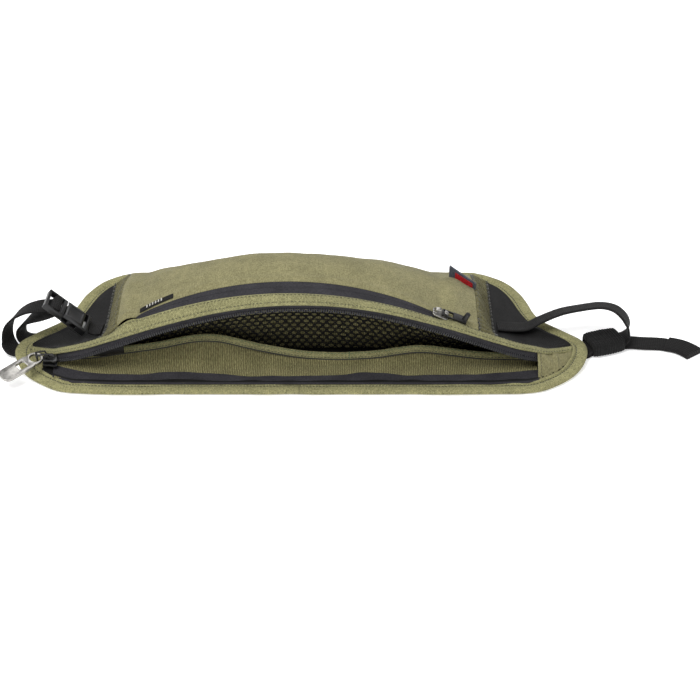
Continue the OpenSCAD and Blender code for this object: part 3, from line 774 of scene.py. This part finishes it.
LOOP_STOPS = [
    (-132, -17, *HIGH), (-145, -17.6, *HIGH), (-151, -18.1, *HIGH), (-154.4, -17.9, 2, -0.05, -1, 0),
    (-157.4, -16.8, 2.7, -0.15, -1, 0), (-159.2, -14.4, 4.7, -0.3, -1, 0),
    (-160, -12.8, 8, -0.32, -1, 0.1), (-159.7, -11.5, 11.8, -0.32, -1, 0.15),
    (-158, -10.6, 15.8, -0.28, -1, 0.15), (-154, -9.9, 20, -0.2, -1, 0.1),
    (-148.8, -9.5, 23, -0.13, -1, 0.05), (-143.4, -9.4, 24.6, -0.1, -1, 0),
    ladder(9.8, -4.6), ladder(8.2, -3.1), ladder(7.3, -1.5), ladder(7.2, 0.2), ladder(6.7, 1.5),
    ladder(5.2, 2.1), ladder(3.6, 1.5), ladder(3.3, -0.4), ladder(3.35, -2.3), ladder(4.4, -4.8),
    (-139.6, -9.4, 19.4, -0.1, -1, 0), (-145.5, -8.6, 17.4, -0.12, -1, 0),
    (-149.8, -7.6, 14.6, -0.2, -1, 0.1), (-152.7, -6.4, 10.3, -0.3, -1, 0.15),
    (-153.4, -5.6, 6, -0.3, -1, 0.15), (-152.2, -5, 2.4, -0.2, -1, 0.1),
    (-149.6, -5, 0.95, 0, -1, 0), (-146, -5.2, *LOW), (-140, -5.2, *LOW)]
TAIL_STOPS = [
    (-140, -5.2, *LOW), (-125, -4.9, *LOW), (-90, -4, *LOW), (0, -4.4, *LOW),
    (90, -9, LOW_RUN, 0.05, -1, 0), (125, -14, LOW_RUN, 0.08, -1, 0),
    (145, -17.6, LOW_RUN, 0.1, -1, 0), (151, -18.2, LOW_RUN, 0.1, -1, 0),
    (153.8, -17.6, 0.62, 0.2, -1, 0), in_keeper(-9.3, 1.45), in_keeper(-4, 1.5), in_keeper(4, 1.5),
    in_keeper(9.2, 1.5), (179, -9.2, 1.45, 0.1, -1, 0), (185.5, -9.6, 1.2, 0, -1, 0),
    (193, -9.8, 1, 0, -1, 0), (197.4, -10.4, 0.95, -0.2, -1, 0), (200.8, -11.6, 0.95, -0.4, -1, 0)]
HEM_STOPS = [
    (199.2, -11.0, 1.5, -0.3, -1, 0), (204.9, -13.6, 1.8, -0.5, -1, 0),
    (209.3, -16.9, 1.7, -0.65, -1, 0), (213, -21.2, 1.6, -0.8, -1, 0)]
TAB_STOPS = [
    (*on_wing(-108.4, -11.2, 2.3), 0.05, 1, -0.1), (*on_wing(-109.6, -11.1, 2.3), 0.05, 1, -0.1),
    (*on_wing(-111, -11, 2.45), 0.05, 1, -0.1), (-113.4, -10.9, 10.9, 0.05, 1, -0.1),
    (-115.6, -10.9, 12.5, 0.05, 1, -0.1)]


def strap_piece(name, node, stops, body="pouch", spacing=0.9, width=WEB_WIDTH, thick=WEB_THICK):
    both = catmull(stops, 16)
    s = arc_length(both[:, :3])
    both = along_path(both, s, np.linspace(0, s[-1], int(s[-1] / spacing) + 1))
    path = both[:, :3]
    path[:, 2] = np.maximum(path[:, 2], thick / 2)
    section = flat_ribbon_section(width, thick)
    return sweep(name, path, both[:, 3:], section, mat_web, node, body)


def build_strap():
    strap_piece("strap_right_web", "waist_strap", RIGHT_STOPS)
    strap_piece("strap_tail_web", "strap_tail", TAIL_STOPS)
    loops = strap_piece("strap_loops_web", "strap_loops", LOOP_STOPS, body=None)
    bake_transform(loops)
    strap_piece("strap_end_hem", "strap_hem", HEM_STOPS, spacing=0.7, width=WEB_WIDTH + 0.5, thick=2.8)
    strap_piece("buckle_tab_web", "buckle_tab", TAB_STOPS)


build_strap()


# ---- bound edge
BINDING_SECTION = np.array([
    (0, 1.35), (0.15, 0.7), (0.7, 0.15), (2, 0), (5, 0), (8, 0.1), (8.7, 0.45), (8.8, 1.1),
    (8.6, 2.0), (8.1, 2.6), (7.4, 2.8), (6.8, 2.4), (6.35, 1.7), (5.9, 1.75), (5.2, 2.3),
    (4.0, 2.62), (2.6, 2.7), (1.4, 2.55), (0.5, 2.1)])


def build_binding():
    """The bound edge: it rests on the strap at the wings and sags to the table in front."""
    plan = resample(catmull(PLAN, 12, closed=True), 1.1, closed=True)
    level = point(*plan.T, 0)
    droop = smooth((-24 - plan[:, 1]) / 22)
    base = BACK - 2.3 * droop + 0.25 * wobble(level, 26, 3)
    path = np.hstack([plan, base[:, None]])
    along = unit(directions(plan, closed=True))
    inward = np.stack([-along[:, 1], along[:, 0], 0 * base], 1)
    up = np.broadcast_to([0.0, 0.0, 1.0], inward.shape)
    crinkle = 0.22 * wobble(level, 7, 8)
    section = np.repeat(BINDING_SECTION[None], len(path), 0)
    section[:, 8:, 1] += crinkle[:, None]
    section[:, :, 0] += 0.35 * wobble(path, 14, 5)[:, None]
    sweep("edge_binding_tape", path, inward, section, mat_binding, "edge_binding",
          closed=True, up=up)
    # A thin dark cord just inside the binding is painted shade along the binding's inner edge.
    sweep("edge_seam_shadow_line", path + inward * 8.95 + [0, 0, 1.5], inward, rounded_section(0.45, 0.5),
          mat_seam_shadow, closed=True, up=up)
    seam = path + inward * 6.1 + point(0 * crinkle, 0, 1.78 + crinkle)
    stitch_row("edge_stitches", seam, (0, 0, 1), 1.75, 1.25, 0.62, closed=True)


# ---- outer cloth
def build_back():
    xs = np.linspace(-146, 146, 110)
    s = np.linspace(0, 1, 46)
    z = BACK + 0.95 - 0.3 * fade(s, 0.08, 0.08)
    grid = np.stack([point(0 * s + x, near_y(x) + (far_y(x) - near_y(x)) * s, z) for x in xs])
    sheet("back_cloth", grid, mat_black, 0.8, "back_panel")


def build_belly():
    xs = np.linspace(PANEL_LEFT, PANEL_RIGHT, 170)
    grid = belly_rows(xs, 96)
    s = np.linspace(0, 1, 96)[None, :]
    t = (grid[..., 0] - PANEL_LEFT) / (PANEL_RIGHT - PANEL_LEFT)
    rim = fade(s, 0.05, 0.06) * fade(t, 0.03, 0.03)
    slow = 1.3 * wobble(grid, 34, 11) + 0.5 * wobble(grid * [1, 0.5, 0.5], 11, 12)
    side_folds = 0.8 * np.sin(grid[..., 1] / 3.1 + 0.8) * np.exp(-np.minimum(t, 1 - t) / 0.03)
    ridge = 0.5 * np.exp(-((s - 0.035) / 0.02) ** 2)
    lift = rim * slow + 0.5 * rim * side_folds + ridge
    grid = grid + grid_normals(grid) * lift[..., None]
    belly = sheet("belly_cloth", grid, mat_olive, 0.9, "front_panel")
    return belly


HANDS = ((-1, PANEL_LEFT, "left"), (1, PANEL_RIGHT, "right"))


def build_gather(side, seam, hand):
    """The puckered strip between the belly and a wing, seamed and stitched along both edges. Its cloth
    is a darker olive, painted shade for its crevices, and a dark cord in each seam is painted shade.
    """
    count = 120
    ts = np.linspace(0, 1, 26)
    rows = []
    for t in ts:
        x = seam + side * (0.4 + GATHER * t)
        rows.append(mix(belly_rows([x], count)[0], wing_rows([x], count)[0], float(smooth(t))))
    grid = np.stack(rows)
    length = np.linspace(0, 1, count)[None, :] + 0 * ts[:, None]
    turns = 19 * length + 0.7 * np.sin(9 * length) + 0.12 * np.sin(23 * length + 5 * ts[:, None])
    crease = 1 - 2 * np.exp(-(np.sin(math.pi * turns) / 0.42) ** 2)
    pucker = (0.4 + 0.6 * np.sin(math.pi * ts)[:, None]) * (1.15 * crease + 0.5 * wobble(grid, 4, 21))
    gutter = -1.1 * (np.exp(-(ts / 0.07) ** 2) + np.exp(-((1 - ts) / 0.08) ** 2))[:, None]
    grid = grid + side * grid_normals(grid) * (pucker + gutter)[..., None]
    grid = grid[::side]
    name = f"gather_cloth_{hand}"
    made = [sheet(name, grid, mat_gather_shaded, 0.9, f"gather_{hand}")]
    for k, shift in ((3, -0.9), (22, 0.9)):
        row = grid[::side][k]
        made.append(stitch_row(f"{name}_stitch_{k}", row + [0, 0, 0.15], (0, 0, 1), 1.9, 1.2, 0.45))
        # A dark cord in each gutter is painted shade in the seam.
        made.append(sweep(f"{name}_seam_{k}", row + [side * shift, 0, -0.2],
                          [1.0, 0, 0], rounded_section(0.8, 0.7), mat_seam_shadow))
    return made


def build_wing(side, seam, hand):
    grid = wing_rows(np.linspace(abs(seam) + GATHER + 0.6, 145.5, 60) * side, 70)
    s = np.linspace(0, 1, 70)[None, :]
    folds = 0.9 * wobble(grid * [1, 0.35, 1], 9, 31 + side) + 1.0 * wobble(grid, 28, 33)
    grid[..., 2] += fade(s, 0.1, 0.12) * folds
    return sheet(f"wing_cloth_{hand}", grid[::side], mat_black, 0.8, f"wing_{hand}")


def build_strip():
    """The strip between the two zips, curled under along the main zip."""
    xs = np.linspace(-145.8, 145.8, 270)
    near, far = strip_near(xs), strip_far(xs)
    s = np.linspace(0, 1, 14)
    grid = loft(near, far, s)
    arc = np.sin(math.pi * s)
    grid[..., 2] += 0.9 * arc ** 0.7 + 0.25 * wobble(grid, 8, 41) * arc
    curl = np.stack([near + [0, 0.9, -0.9], near + [0, 0.1, -0.55]], 1)
    grid = np.concatenate([curl, grid], 1)
    strip = sheet("upper_strip_cloth", grid, mat_strip, 0.8, "upper_strip")
    rows = [stitch_row(f"strip_stitch_{k}", grid[:, k] + [0, 0, 0.12], (0, -0.3, 1), 2.0, 1.2, 0.4)
            for k in (4, 12)]
    return strip, *rows


def build_outer_zip():
    """The outer zip's tape, with a groove where its halves meet."""
    xs = np.linspace(ZIP_MID[0] - ZIP_END, ZIP_MID[0] + ZIP_END, 200)
    half = 1.22 * outer_half(xs) - 0.3
    width = half[:, None] * np.linspace(-1, 1, 17)
    normal = np.array([0, -math.sin(ZIP_SLOPE), math.cos(ZIP_SLOPE)])
    groove = -0.45 * np.exp(-(width / 0.28) ** 2) + 0.35 * np.exp(-(width / 2.2) ** 2)
    grid = outer_at(xs)[:, None] + width[..., None] * ZIP_ACROSS + (groove - 0.25)[..., None] * normal
    return sheet("outer_zip_cloth", grid, mat_tape, 0.6, "outer_zip_tape")


# ---- main zip
TAPE_IN = [(-132, -36), (-129, -37.4), (-124, -40), (-116, -43), (-104, -45), (-84, -45.5),
           (-72, -42.8), (-62, -42.6), (-50, -44.5), (-30, -47), (0, -47), (25, -45.6), (32, -43.4),
           (44, -43.8), (54, -46.2), (70, -46), (95, -45.4), (110, -43.4), (126, -41)]


COIL_PITCH = 1.25


def coil_centre(x):
    return point(x, lip_y(x) + 0.2, lip_z(x) - 0.7)


def coil(name, node, path, across, size=1.9):
    """Zip coil: a run of small loops, one mesh."""
    path = resample(path, COIL_PITCH)
    along = unit(directions(path))
    wide = square_to(along, across)
    tall = np.cross(along, wide)
    ring = 8
    spine = [(-0.55, 0.0), (-0.25, 0.42), (0.3, 0.45), (0.62, 0.1), (0.35, -0.3), (-0.3, -0.3)]
    verts = []
    for w, h in spine:
        for k in range(ring):
            a = 2 * math.pi * k / ring
            verts.append(path + wide * (w * size) + tall * (h * size * 0.75)
                         + along * (0.36 * math.cos(a)) + tall * (0.3 * math.sin(a)))
    return beads(name, verts, ring, mat_coil, node)


def build_upper_tape():
    """The raised half of the main zip, hung from the strip."""
    xs = np.linspace(-131, 127, 250)
    top, centre = strip_near(xs) + [0, 1.0, -0.7], coil_centre(xs)
    s = np.linspace(0, 1, 9)
    sag = 0.35 * np.sin(math.pi * s)[None, :, None] * np.array([0, 0.6, -0.2])
    grid = loft(top, centre + [0, 0, 0.2], s) + sag
    tape = sheet("main_tape_top", grid[:, ::-1], mat_tape, 0.6, "main_tape_upper")
    teeth = coil("main_coil_top", "main_coil_upper", centre + [0, -0.15, 0], [0, -0.35, -0.95])
    return tape, teeth


def build_lower_tape():
    """The flat half of the main zip, along the near edge."""
    xs = np.linspace(-132, 126.5, 230)
    inner = soft_lookup(xs, TAPE_IN, 3)
    outer = near_y(xs) - 1.2
    s = np.linspace(0, 1, 12)
    y = outer[:, None] + (inner - outer)[:, None] * s
    grid = np.stack([xs[:, None] + 0 * y, y, 3.4 + 0.9 * s + 0 * y], -1)
    grid[..., 2] += 0.55 * wobble(grid * [1, 0.3, 0.3], 14, 51) * s
    sheet("main_tape_bottom", grid, mat_tape, 0.6, "main_tape_lower")
    path = np.stack([xs, inner - 1.2, grid[:, -2, 2] - 1.0], 1)
    coil("main_coil_bottom", "main_coil_lower", path, [0, 1, 0], size=1.4)


def patch_grid(x0, x1):
    """A crowned cloth patch from the near edge up to the strip, between two x values."""
    xs = np.linspace(x0, x1, 30)
    s = np.linspace(0, 1, 26)
    top = strip_near(xs) + [0, 0.4, -0.6]
    if x0 < 0:
        top[:, 2] = BINDING_TOP
    grid = loft(point(xs, near_y(xs) - 0.8, 3.4), top, s)
    grid[..., 2] += 0.9 * np.sin(math.pi * s)[None, :]
    return grid


def build_end_patches():
    """Cloth ends of the main zip: a pleated and stitched one on the right, a plain one on the left."""
    grid = patch_grid(126.6, 146)
    x, y = grid[..., 0], grid[..., 1]
    pleat = np.exp(-((x - 137 + 0.25 * (y + 35)) / 1.6) ** 2)
    ribs = 0.22 * np.sin(x * 2 * math.pi / 1.9)
    grid[..., 2] += 1.1 * pleat - 0.9 * wobble(grid, 5, 61) + ribs
    sheet("end_patch_right", grid, mat_olive, 0.8, "zip_end_patch")
    stitch_row("end_patch_stitch", grid[2, 2:-2] + [0, 0, 0.2], (0, 0, 1), 1.9, 1.2, 0.4)
    sheet("start_patch_left", patch_grid(-146, -138.5), mat_olive, 0.8, "zip_start_tab")


# ---- inside of the pouch
RISE = [(-128, 6.4), (-118, 6.6), (-108, 7.8), (-96, 10), (-75, 13.2), (-58, 17.6), (-45, 18.2),
        (-33, 14.8), (-20, 11.2), (0, 7.2), (20, 6), (42, 7.4), (55, 10.2), (65, 11.2), (76, 9.6),
        (96, 6.6), (118, 6), (128, 6)]
WALL_Y = -32.0
TACK_X = 25.7
EDGE_UP = np.array([0, 0.62, 0.78])
EDGE_FACE = np.array([0, -0.78, 0.62])


def build_pocket():
    """The inner slip pocket: a ribbed wall, its bound and stitched edge, and one tack."""
    xs = np.linspace(-131, 126, 250)
    z = soft_lookup(xs, RISE, 6)
    rows = []
    for x, top in zip(xs, z):
        stops = [(x, -47.5, 3.6), (x, -43, 3.7), (x, -38, 4.0),
                 (x, WALL_Y - 2.2, 4.3 + 0.2 * (top - 6)), (x, WALL_Y - 0.6, 4.4 + 0.5 * (top - 4)),
                 (x, WALL_Y + 0.5, max(5.0, top - 1.2))]
        rows.append(resize(catmull(stops, 8), 44))
    grid = np.stack(rows)
    bulge = np.sin(math.pi * np.linspace(0, 1, 44))[None, :]
    grid[..., 1] -= 0.8 * bulge ** 2 * (1 + wobble(grid * [1, 0.2, 0.2], 18, 71))
    grid[..., 2] += 0.35 * wobble(grid, 12, 72) * bulge
    path = np.stack([xs, WALL_Y + 0.9 + 0 * xs, np.maximum(BINDING_TOP, z + 0.6)], 1)
    made = [sheet("pocket_wall_cloth", grid, mat_ribbed, 0.7, "pocket_wall"),
            sweep("pocket_edge_tape", path, EDGE_UP, rounded_section(3.9, 1.5, 0.7, 3), mat_binding,
                  "pocket_binding")]
    for name, rise, material in (("pocket_edge_stitch", 1.05, mat_thread_green),
                                 ("pocket_edge_stitch_low", -1.2, mat_thread)):
        made.append(stitch_row(name, path + EDGE_UP * rise + EDGE_FACE * 0.75, EDGE_FACE,
                               1.8, 1.25, 0.4, material))
    # The dark cord under the pocket's edge is painted shade, standing in for the shadow beneath the
    # binding.
    made.append(sweep("pocket_edge_seam_shadow", path - EDGE_UP * 2.1 + EDGE_FACE * 0.4, EDGE_UP,
                      rounded_section(0.7, 0.6), mat_seam_shadow))
    tack_at = path[int(np.argmin(np.abs(xs - TACK_X)))]
    places = tack_at + EDGE_FACE * 0.95 + EDGE_UP * np.array([[-1.5], [0.0], [1.5]])
    made.append(dashes("pocket_tack", places, EDGE_UP, EDGE_FACE, 1.3, 0.5, mat_thread_green))
    return made


def hang_grid(xs, count, back):
    """Grid of a sheet that hangs from the lip to the pouch's floor, set back behind the mouth."""
    rows = []
    for x in xs:
        top = float(lip_z(x)) - 1
        low = FLOOR + 0.9
        stops = [(x, -22 + back, low), (x, -24.5 + back, low + 0.3 * (top - low)),
                 (x, -29 + back, low + 0.7 * (top - low)), (x, float(lip_y(x)) + 5.5 + back, top)]
        rows.append(resize(catmull(stops, 8), count))
    return np.stack(rows)


def build_lining():
    grid = hang_grid(np.linspace(-112, 118, 120), 40, 3.4)[::-1]
    return sheet("inner_lining_cloth", grid, mat_lining_lit, 0.6, "inner_lining")


def build_mesh():
    """Open net: one rounded hole in every cell of a staggered lattice laid on the hanging sheet."""
    xs = np.linspace(-118, 122, 160)
    table = hang_grid(xs, 60, 0.0)
    lengths = np.linalg.norm(np.diff(table, axis=1), axis=2).sum(1)
    normals = -grid_normals(table)
    pitch_x, pitch_v = 4.4, 2.9
    rows, columns, around = 18, 56, 12

    def place(u, v, lift):
        """Points of the sheet at x = u, a distance v below its top, lifted along the normal."""
        fi = np.clip((u - xs[0]) / (xs[1] - xs[0]), 0, len(xs) - 1.001)
        i = fi.astype(int)
        fj = np.clip((1 - v / lengths[i]) * (table.shape[1] - 1), 0, table.shape[1] - 1.001)
        j = fj.astype(int)
        fx, fy = (fi - i)[:, None], (fj - j)[:, None]
        out = 0
        for grid, k in ((table, 1.0), (normals, lift)):
            a = grid[i, j] * (1 - fx) + grid[i + 1, j] * fx
            b = grid[i, j + 1] * (1 - fx) + grid[i + 1, j + 1] * fx
            out = out + k * (a * (1 - fy) + b * fy)
        return out

    corners = np.array([(0.5, 0.25), (0.5, -0.25), (0, -0.75), (-0.5, -0.25), (-0.5, 0.25), (0, 0.75)])
    outer = np.concatenate([np.linspace(corners[k], corners[(k + 1) % 6], 3)[:2] for k in range(6)])
    angles = np.arctan2(outer[:, 1], outer[:, 0])
    cell = outer * [pitch_x, pitch_v / 0.75 * 0.667]
    hole = np.stack([np.cos(angles) * 1.42, np.sin(angles) * 1.2], 1)
    middle = cell * 0.5 + hole * 0.62
    layers = [(cell, 0.0), (middle, 0.22), (hole, 0.05), (hole * 1.02, -0.1), (middle, -0.14),
              (cell, -0.12)]
    ring_faces = grid_faces(len(layers), around, wrap_cols=True)
    verts, faces = [], []
    for row in range(rows):
        for column in range(columns):
            cu = xs[0] + 2 + pitch_x * (column + 0.5 * (row % 2))
            cv = 0.4 + pitch_v * row
            if cu > xs[-1] - 3:
                continue
            here = lengths[int(np.clip((cu - xs[0]) / (xs[1] - xs[0]), 0, len(xs) - 1))]
            if cv > here - 1.0:
                continue
            start = len(verts) * around
            faces += [[f + start for f in face] for face in ring_faces]
            verts += [place(cu + q[:, 0], np.clip(cv + q[:, 1], 0, here), lift) for q, lift in layers]
    coords = np.concatenate(verts)
    return make_object("mesh_net", coords, faces, mat_mesh, "mesh_pocket",
                       cloth=coords[:, [0, 2]])


def build_flap():
    """Small folded flap inside the mouth; it leans up towards the middle."""
    rows = []
    for x in np.linspace(-110, -94, 22):
        k = (x + 108) / 14
        stops = [(x, -39.4, 11.8 + 1.8 * k), (x, -40.8, 14.2 + 1.9 * k), (x, -41.3, 16.7 + 2 * k),
                 (x, -40.8, 19.2 + 2.1 * k)]
        rows.append(resize(catmull(stops, 6), 16))
    grid = np.stack(rows)
    grid = grid + grid_normals(grid) * wobble(grid, 5, 81)[..., None]
    return sheet("inner_flap_cloth", grid, mat_black, 0.9, "inner_flap")


# ---- label and tag
def build_label():
    """The front label, laid on the belly, with a plain row of bars."""
    left, right, width = -84.5, -67, 3.2
    rows = []
    for x in np.linspace(left, right, 24):
        belly = belly_rows([x], 96)[0]
        start = 0.2 + 0.06 * (x - left)
        rows.append(along_path(belly, arc_length(belly), np.linspace(start, start + width, 8)))
    grid = np.stack(rows)
    grid = grid + grid_normals(grid)
    label = sheet("front_label_cloth", grid, mat_black, 0.5, "front_label")
    places = (grid + grid_normals(grid) * 0.12)[5:17:2, 3:5].mean(1)
    lean = directions(places) * [0, 1, 1] + [0.2, 1, 0.3]
    bars = dashes("front_label_bars", places, lean, (0, -0.3, 1), 1.9, 0.8, mat_thread_pale)
    return label, bars


def build_tag():
    """The side tag, standing off the belly, with a plain patch on its front."""
    grid = np.array([[(80.5 + 14 * u, 10.5 - 3.5 * u - 1.2 * v,
                       31.5 - 6.5 * u + 7.5 * v * (1 - 0.35 * u)) for v in np.linspace(0, 1, 8)]
                     for u in np.linspace(0, 1, 10)])
    tag = sheet("side_tag_cloth", grid, mat_tag_grey, 0.9, "side_tag")
    patch = grid[2:9, 1:6] + [0, -0.55, 0.25]
    return tag, sheet("side_tag_patch", patch, mat_tag_red, 0.3)


# ---- hard parts
NICKEL = (mat_silver, "silver_metal")
LACQUER = (mat_black_metal, "black_metal")
PLASTIC = (mat_plastic, "buckle_plastic")
CORD = (mat_plastic, "cord_pull")
# name, CAD node, body, material with its slot, radius of the rounded edges, steps round them
HARDWARE = [("main_slider_body", "main_slider", "main_slider", LACQUER, 0.35, 3),
            ("main_pull_plate", "main_pull", "main_pull", NICKEL, 0.35, 3),
            ("main_pull_link", "pull_link", "main_pull", LACQUER, 0.18, 2),
            ("outer_slider_body", "outer_slider", "outer_slider", NICKEL, 0.35, 3),
            ("outer_pull_cord", "outer_pull", "outer_pull", CORD, 0.3, 2),
            ("buckle_socket", "buckle_female", "pouch", PLASTIC, 0.4, 3),
            ("buckle_plug", "buckle_male", "buckle_male", PLASTIC, 0.3, 2),
            ("buckle_prong_near", "prong_near", "prong_near", PLASTIC, 0.3, 2),
            ("buckle_prong_far", "prong_far", "prong_far", PLASTIC, 0.3, 2)]


def build_hardware():
    """All the hard parts; the two that come down with the cloth are returned."""
    parts = {}
    for name, node, body, finish, radius, steps in HARDWARE:
        parts[name] = refined(name, node, body, *finish, radius, steps)
    return parts["outer_slider_body"], parts["outer_pull_cord"]


def build_keeper():
    """Ribbed elastic sleeve: a soft tube round the webbing with raised bands."""
    half_length, half_width, half_height, middle = KEEPER_LENGTH / 2, 8.5, 4.2, 4.3
    bore_width, bore_height, bore_middle = 6.9, 2.5, 2.95
    bands, count = 12, 56
    u = np.linspace(-half_length, half_length, 150)
    angles = np.linspace(0, 2 * math.pi, count, endpoint=False)
    c, s = np.cos(angles), np.sin(angles)
    square_y, square_z = np.sign(c) * np.abs(c) ** 0.42, np.sign(s) * np.abs(s) ** 0.55
    swell = 1 - 0.13 * np.exp(-(half_length - np.abs(u)) / 0.7)
    swell = swell + 0.02 * np.cos(np.pi * u / half_length)
    rib = 0.34 * np.abs(np.sin(np.pi * bands * (u + half_length) / KEEPER_LENGTH)) - 0.3
    along = u[:, None] + 0 * c
    outer = np.stack([along, (half_width * swell + rib)[:, None] * square_y,
                      middle + (half_height * swell + rib)[:, None] * square_z], -1)
    dent = 0.35 * wobble(outer, 5, 91)
    outer[..., 1] += 0.5 * dent * square_y
    outer[..., 2] = np.maximum(outer[..., 2] + dent * np.maximum(square_z, 0), 0.1)
    inner = np.stack([along, bore_width * square_y + 0 * along,
                      bore_middle + bore_height * square_z + 0 * along], -1)
    ring = np.concatenate([outer, inner[::-1]])
    x, y = ring[..., 0], ring[..., 1]
    turned = np.stack([KEEPER_MIDDLE[0] + x * math.cos(KEEPER_TURN) - y * math.sin(KEEPER_TURN),
                       KEEPER_MIDDLE[1] + x * math.sin(KEEPER_TURN) + y * math.cos(KEEPER_TURN),
                       ring[..., 2]], -1)
    faces = grid_faces(2 * len(u), count, wrap_rows=True, wrap_cols=True)
    cloth = np.stack([x, 8 * angles[None, :] + 0 * x], -1).reshape(-1, 2)
    make_object("keeper_elastic", turned.reshape(-1, 3), faces, mat_elastic, "strap_keeper",
                "strap_keeper", cloth)


build_binding()
build_back()
soft = [build_belly()]
for hand in HANDS:
    soft += build_gather(*hand)
soft += [build_wing(*hand) for hand in HANDS]
soft += build_strip()
soft += [build_outer_zip()]
soft += build_upper_tape()
build_lower_tape()
build_end_patches()
soft += build_pocket()
soft += [build_lining(), build_mesh(), build_flap()]
soft += build_label()
soft += build_tag()
soft += build_hardware()
build_keeper()
for piece in soft:
    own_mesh(piece)
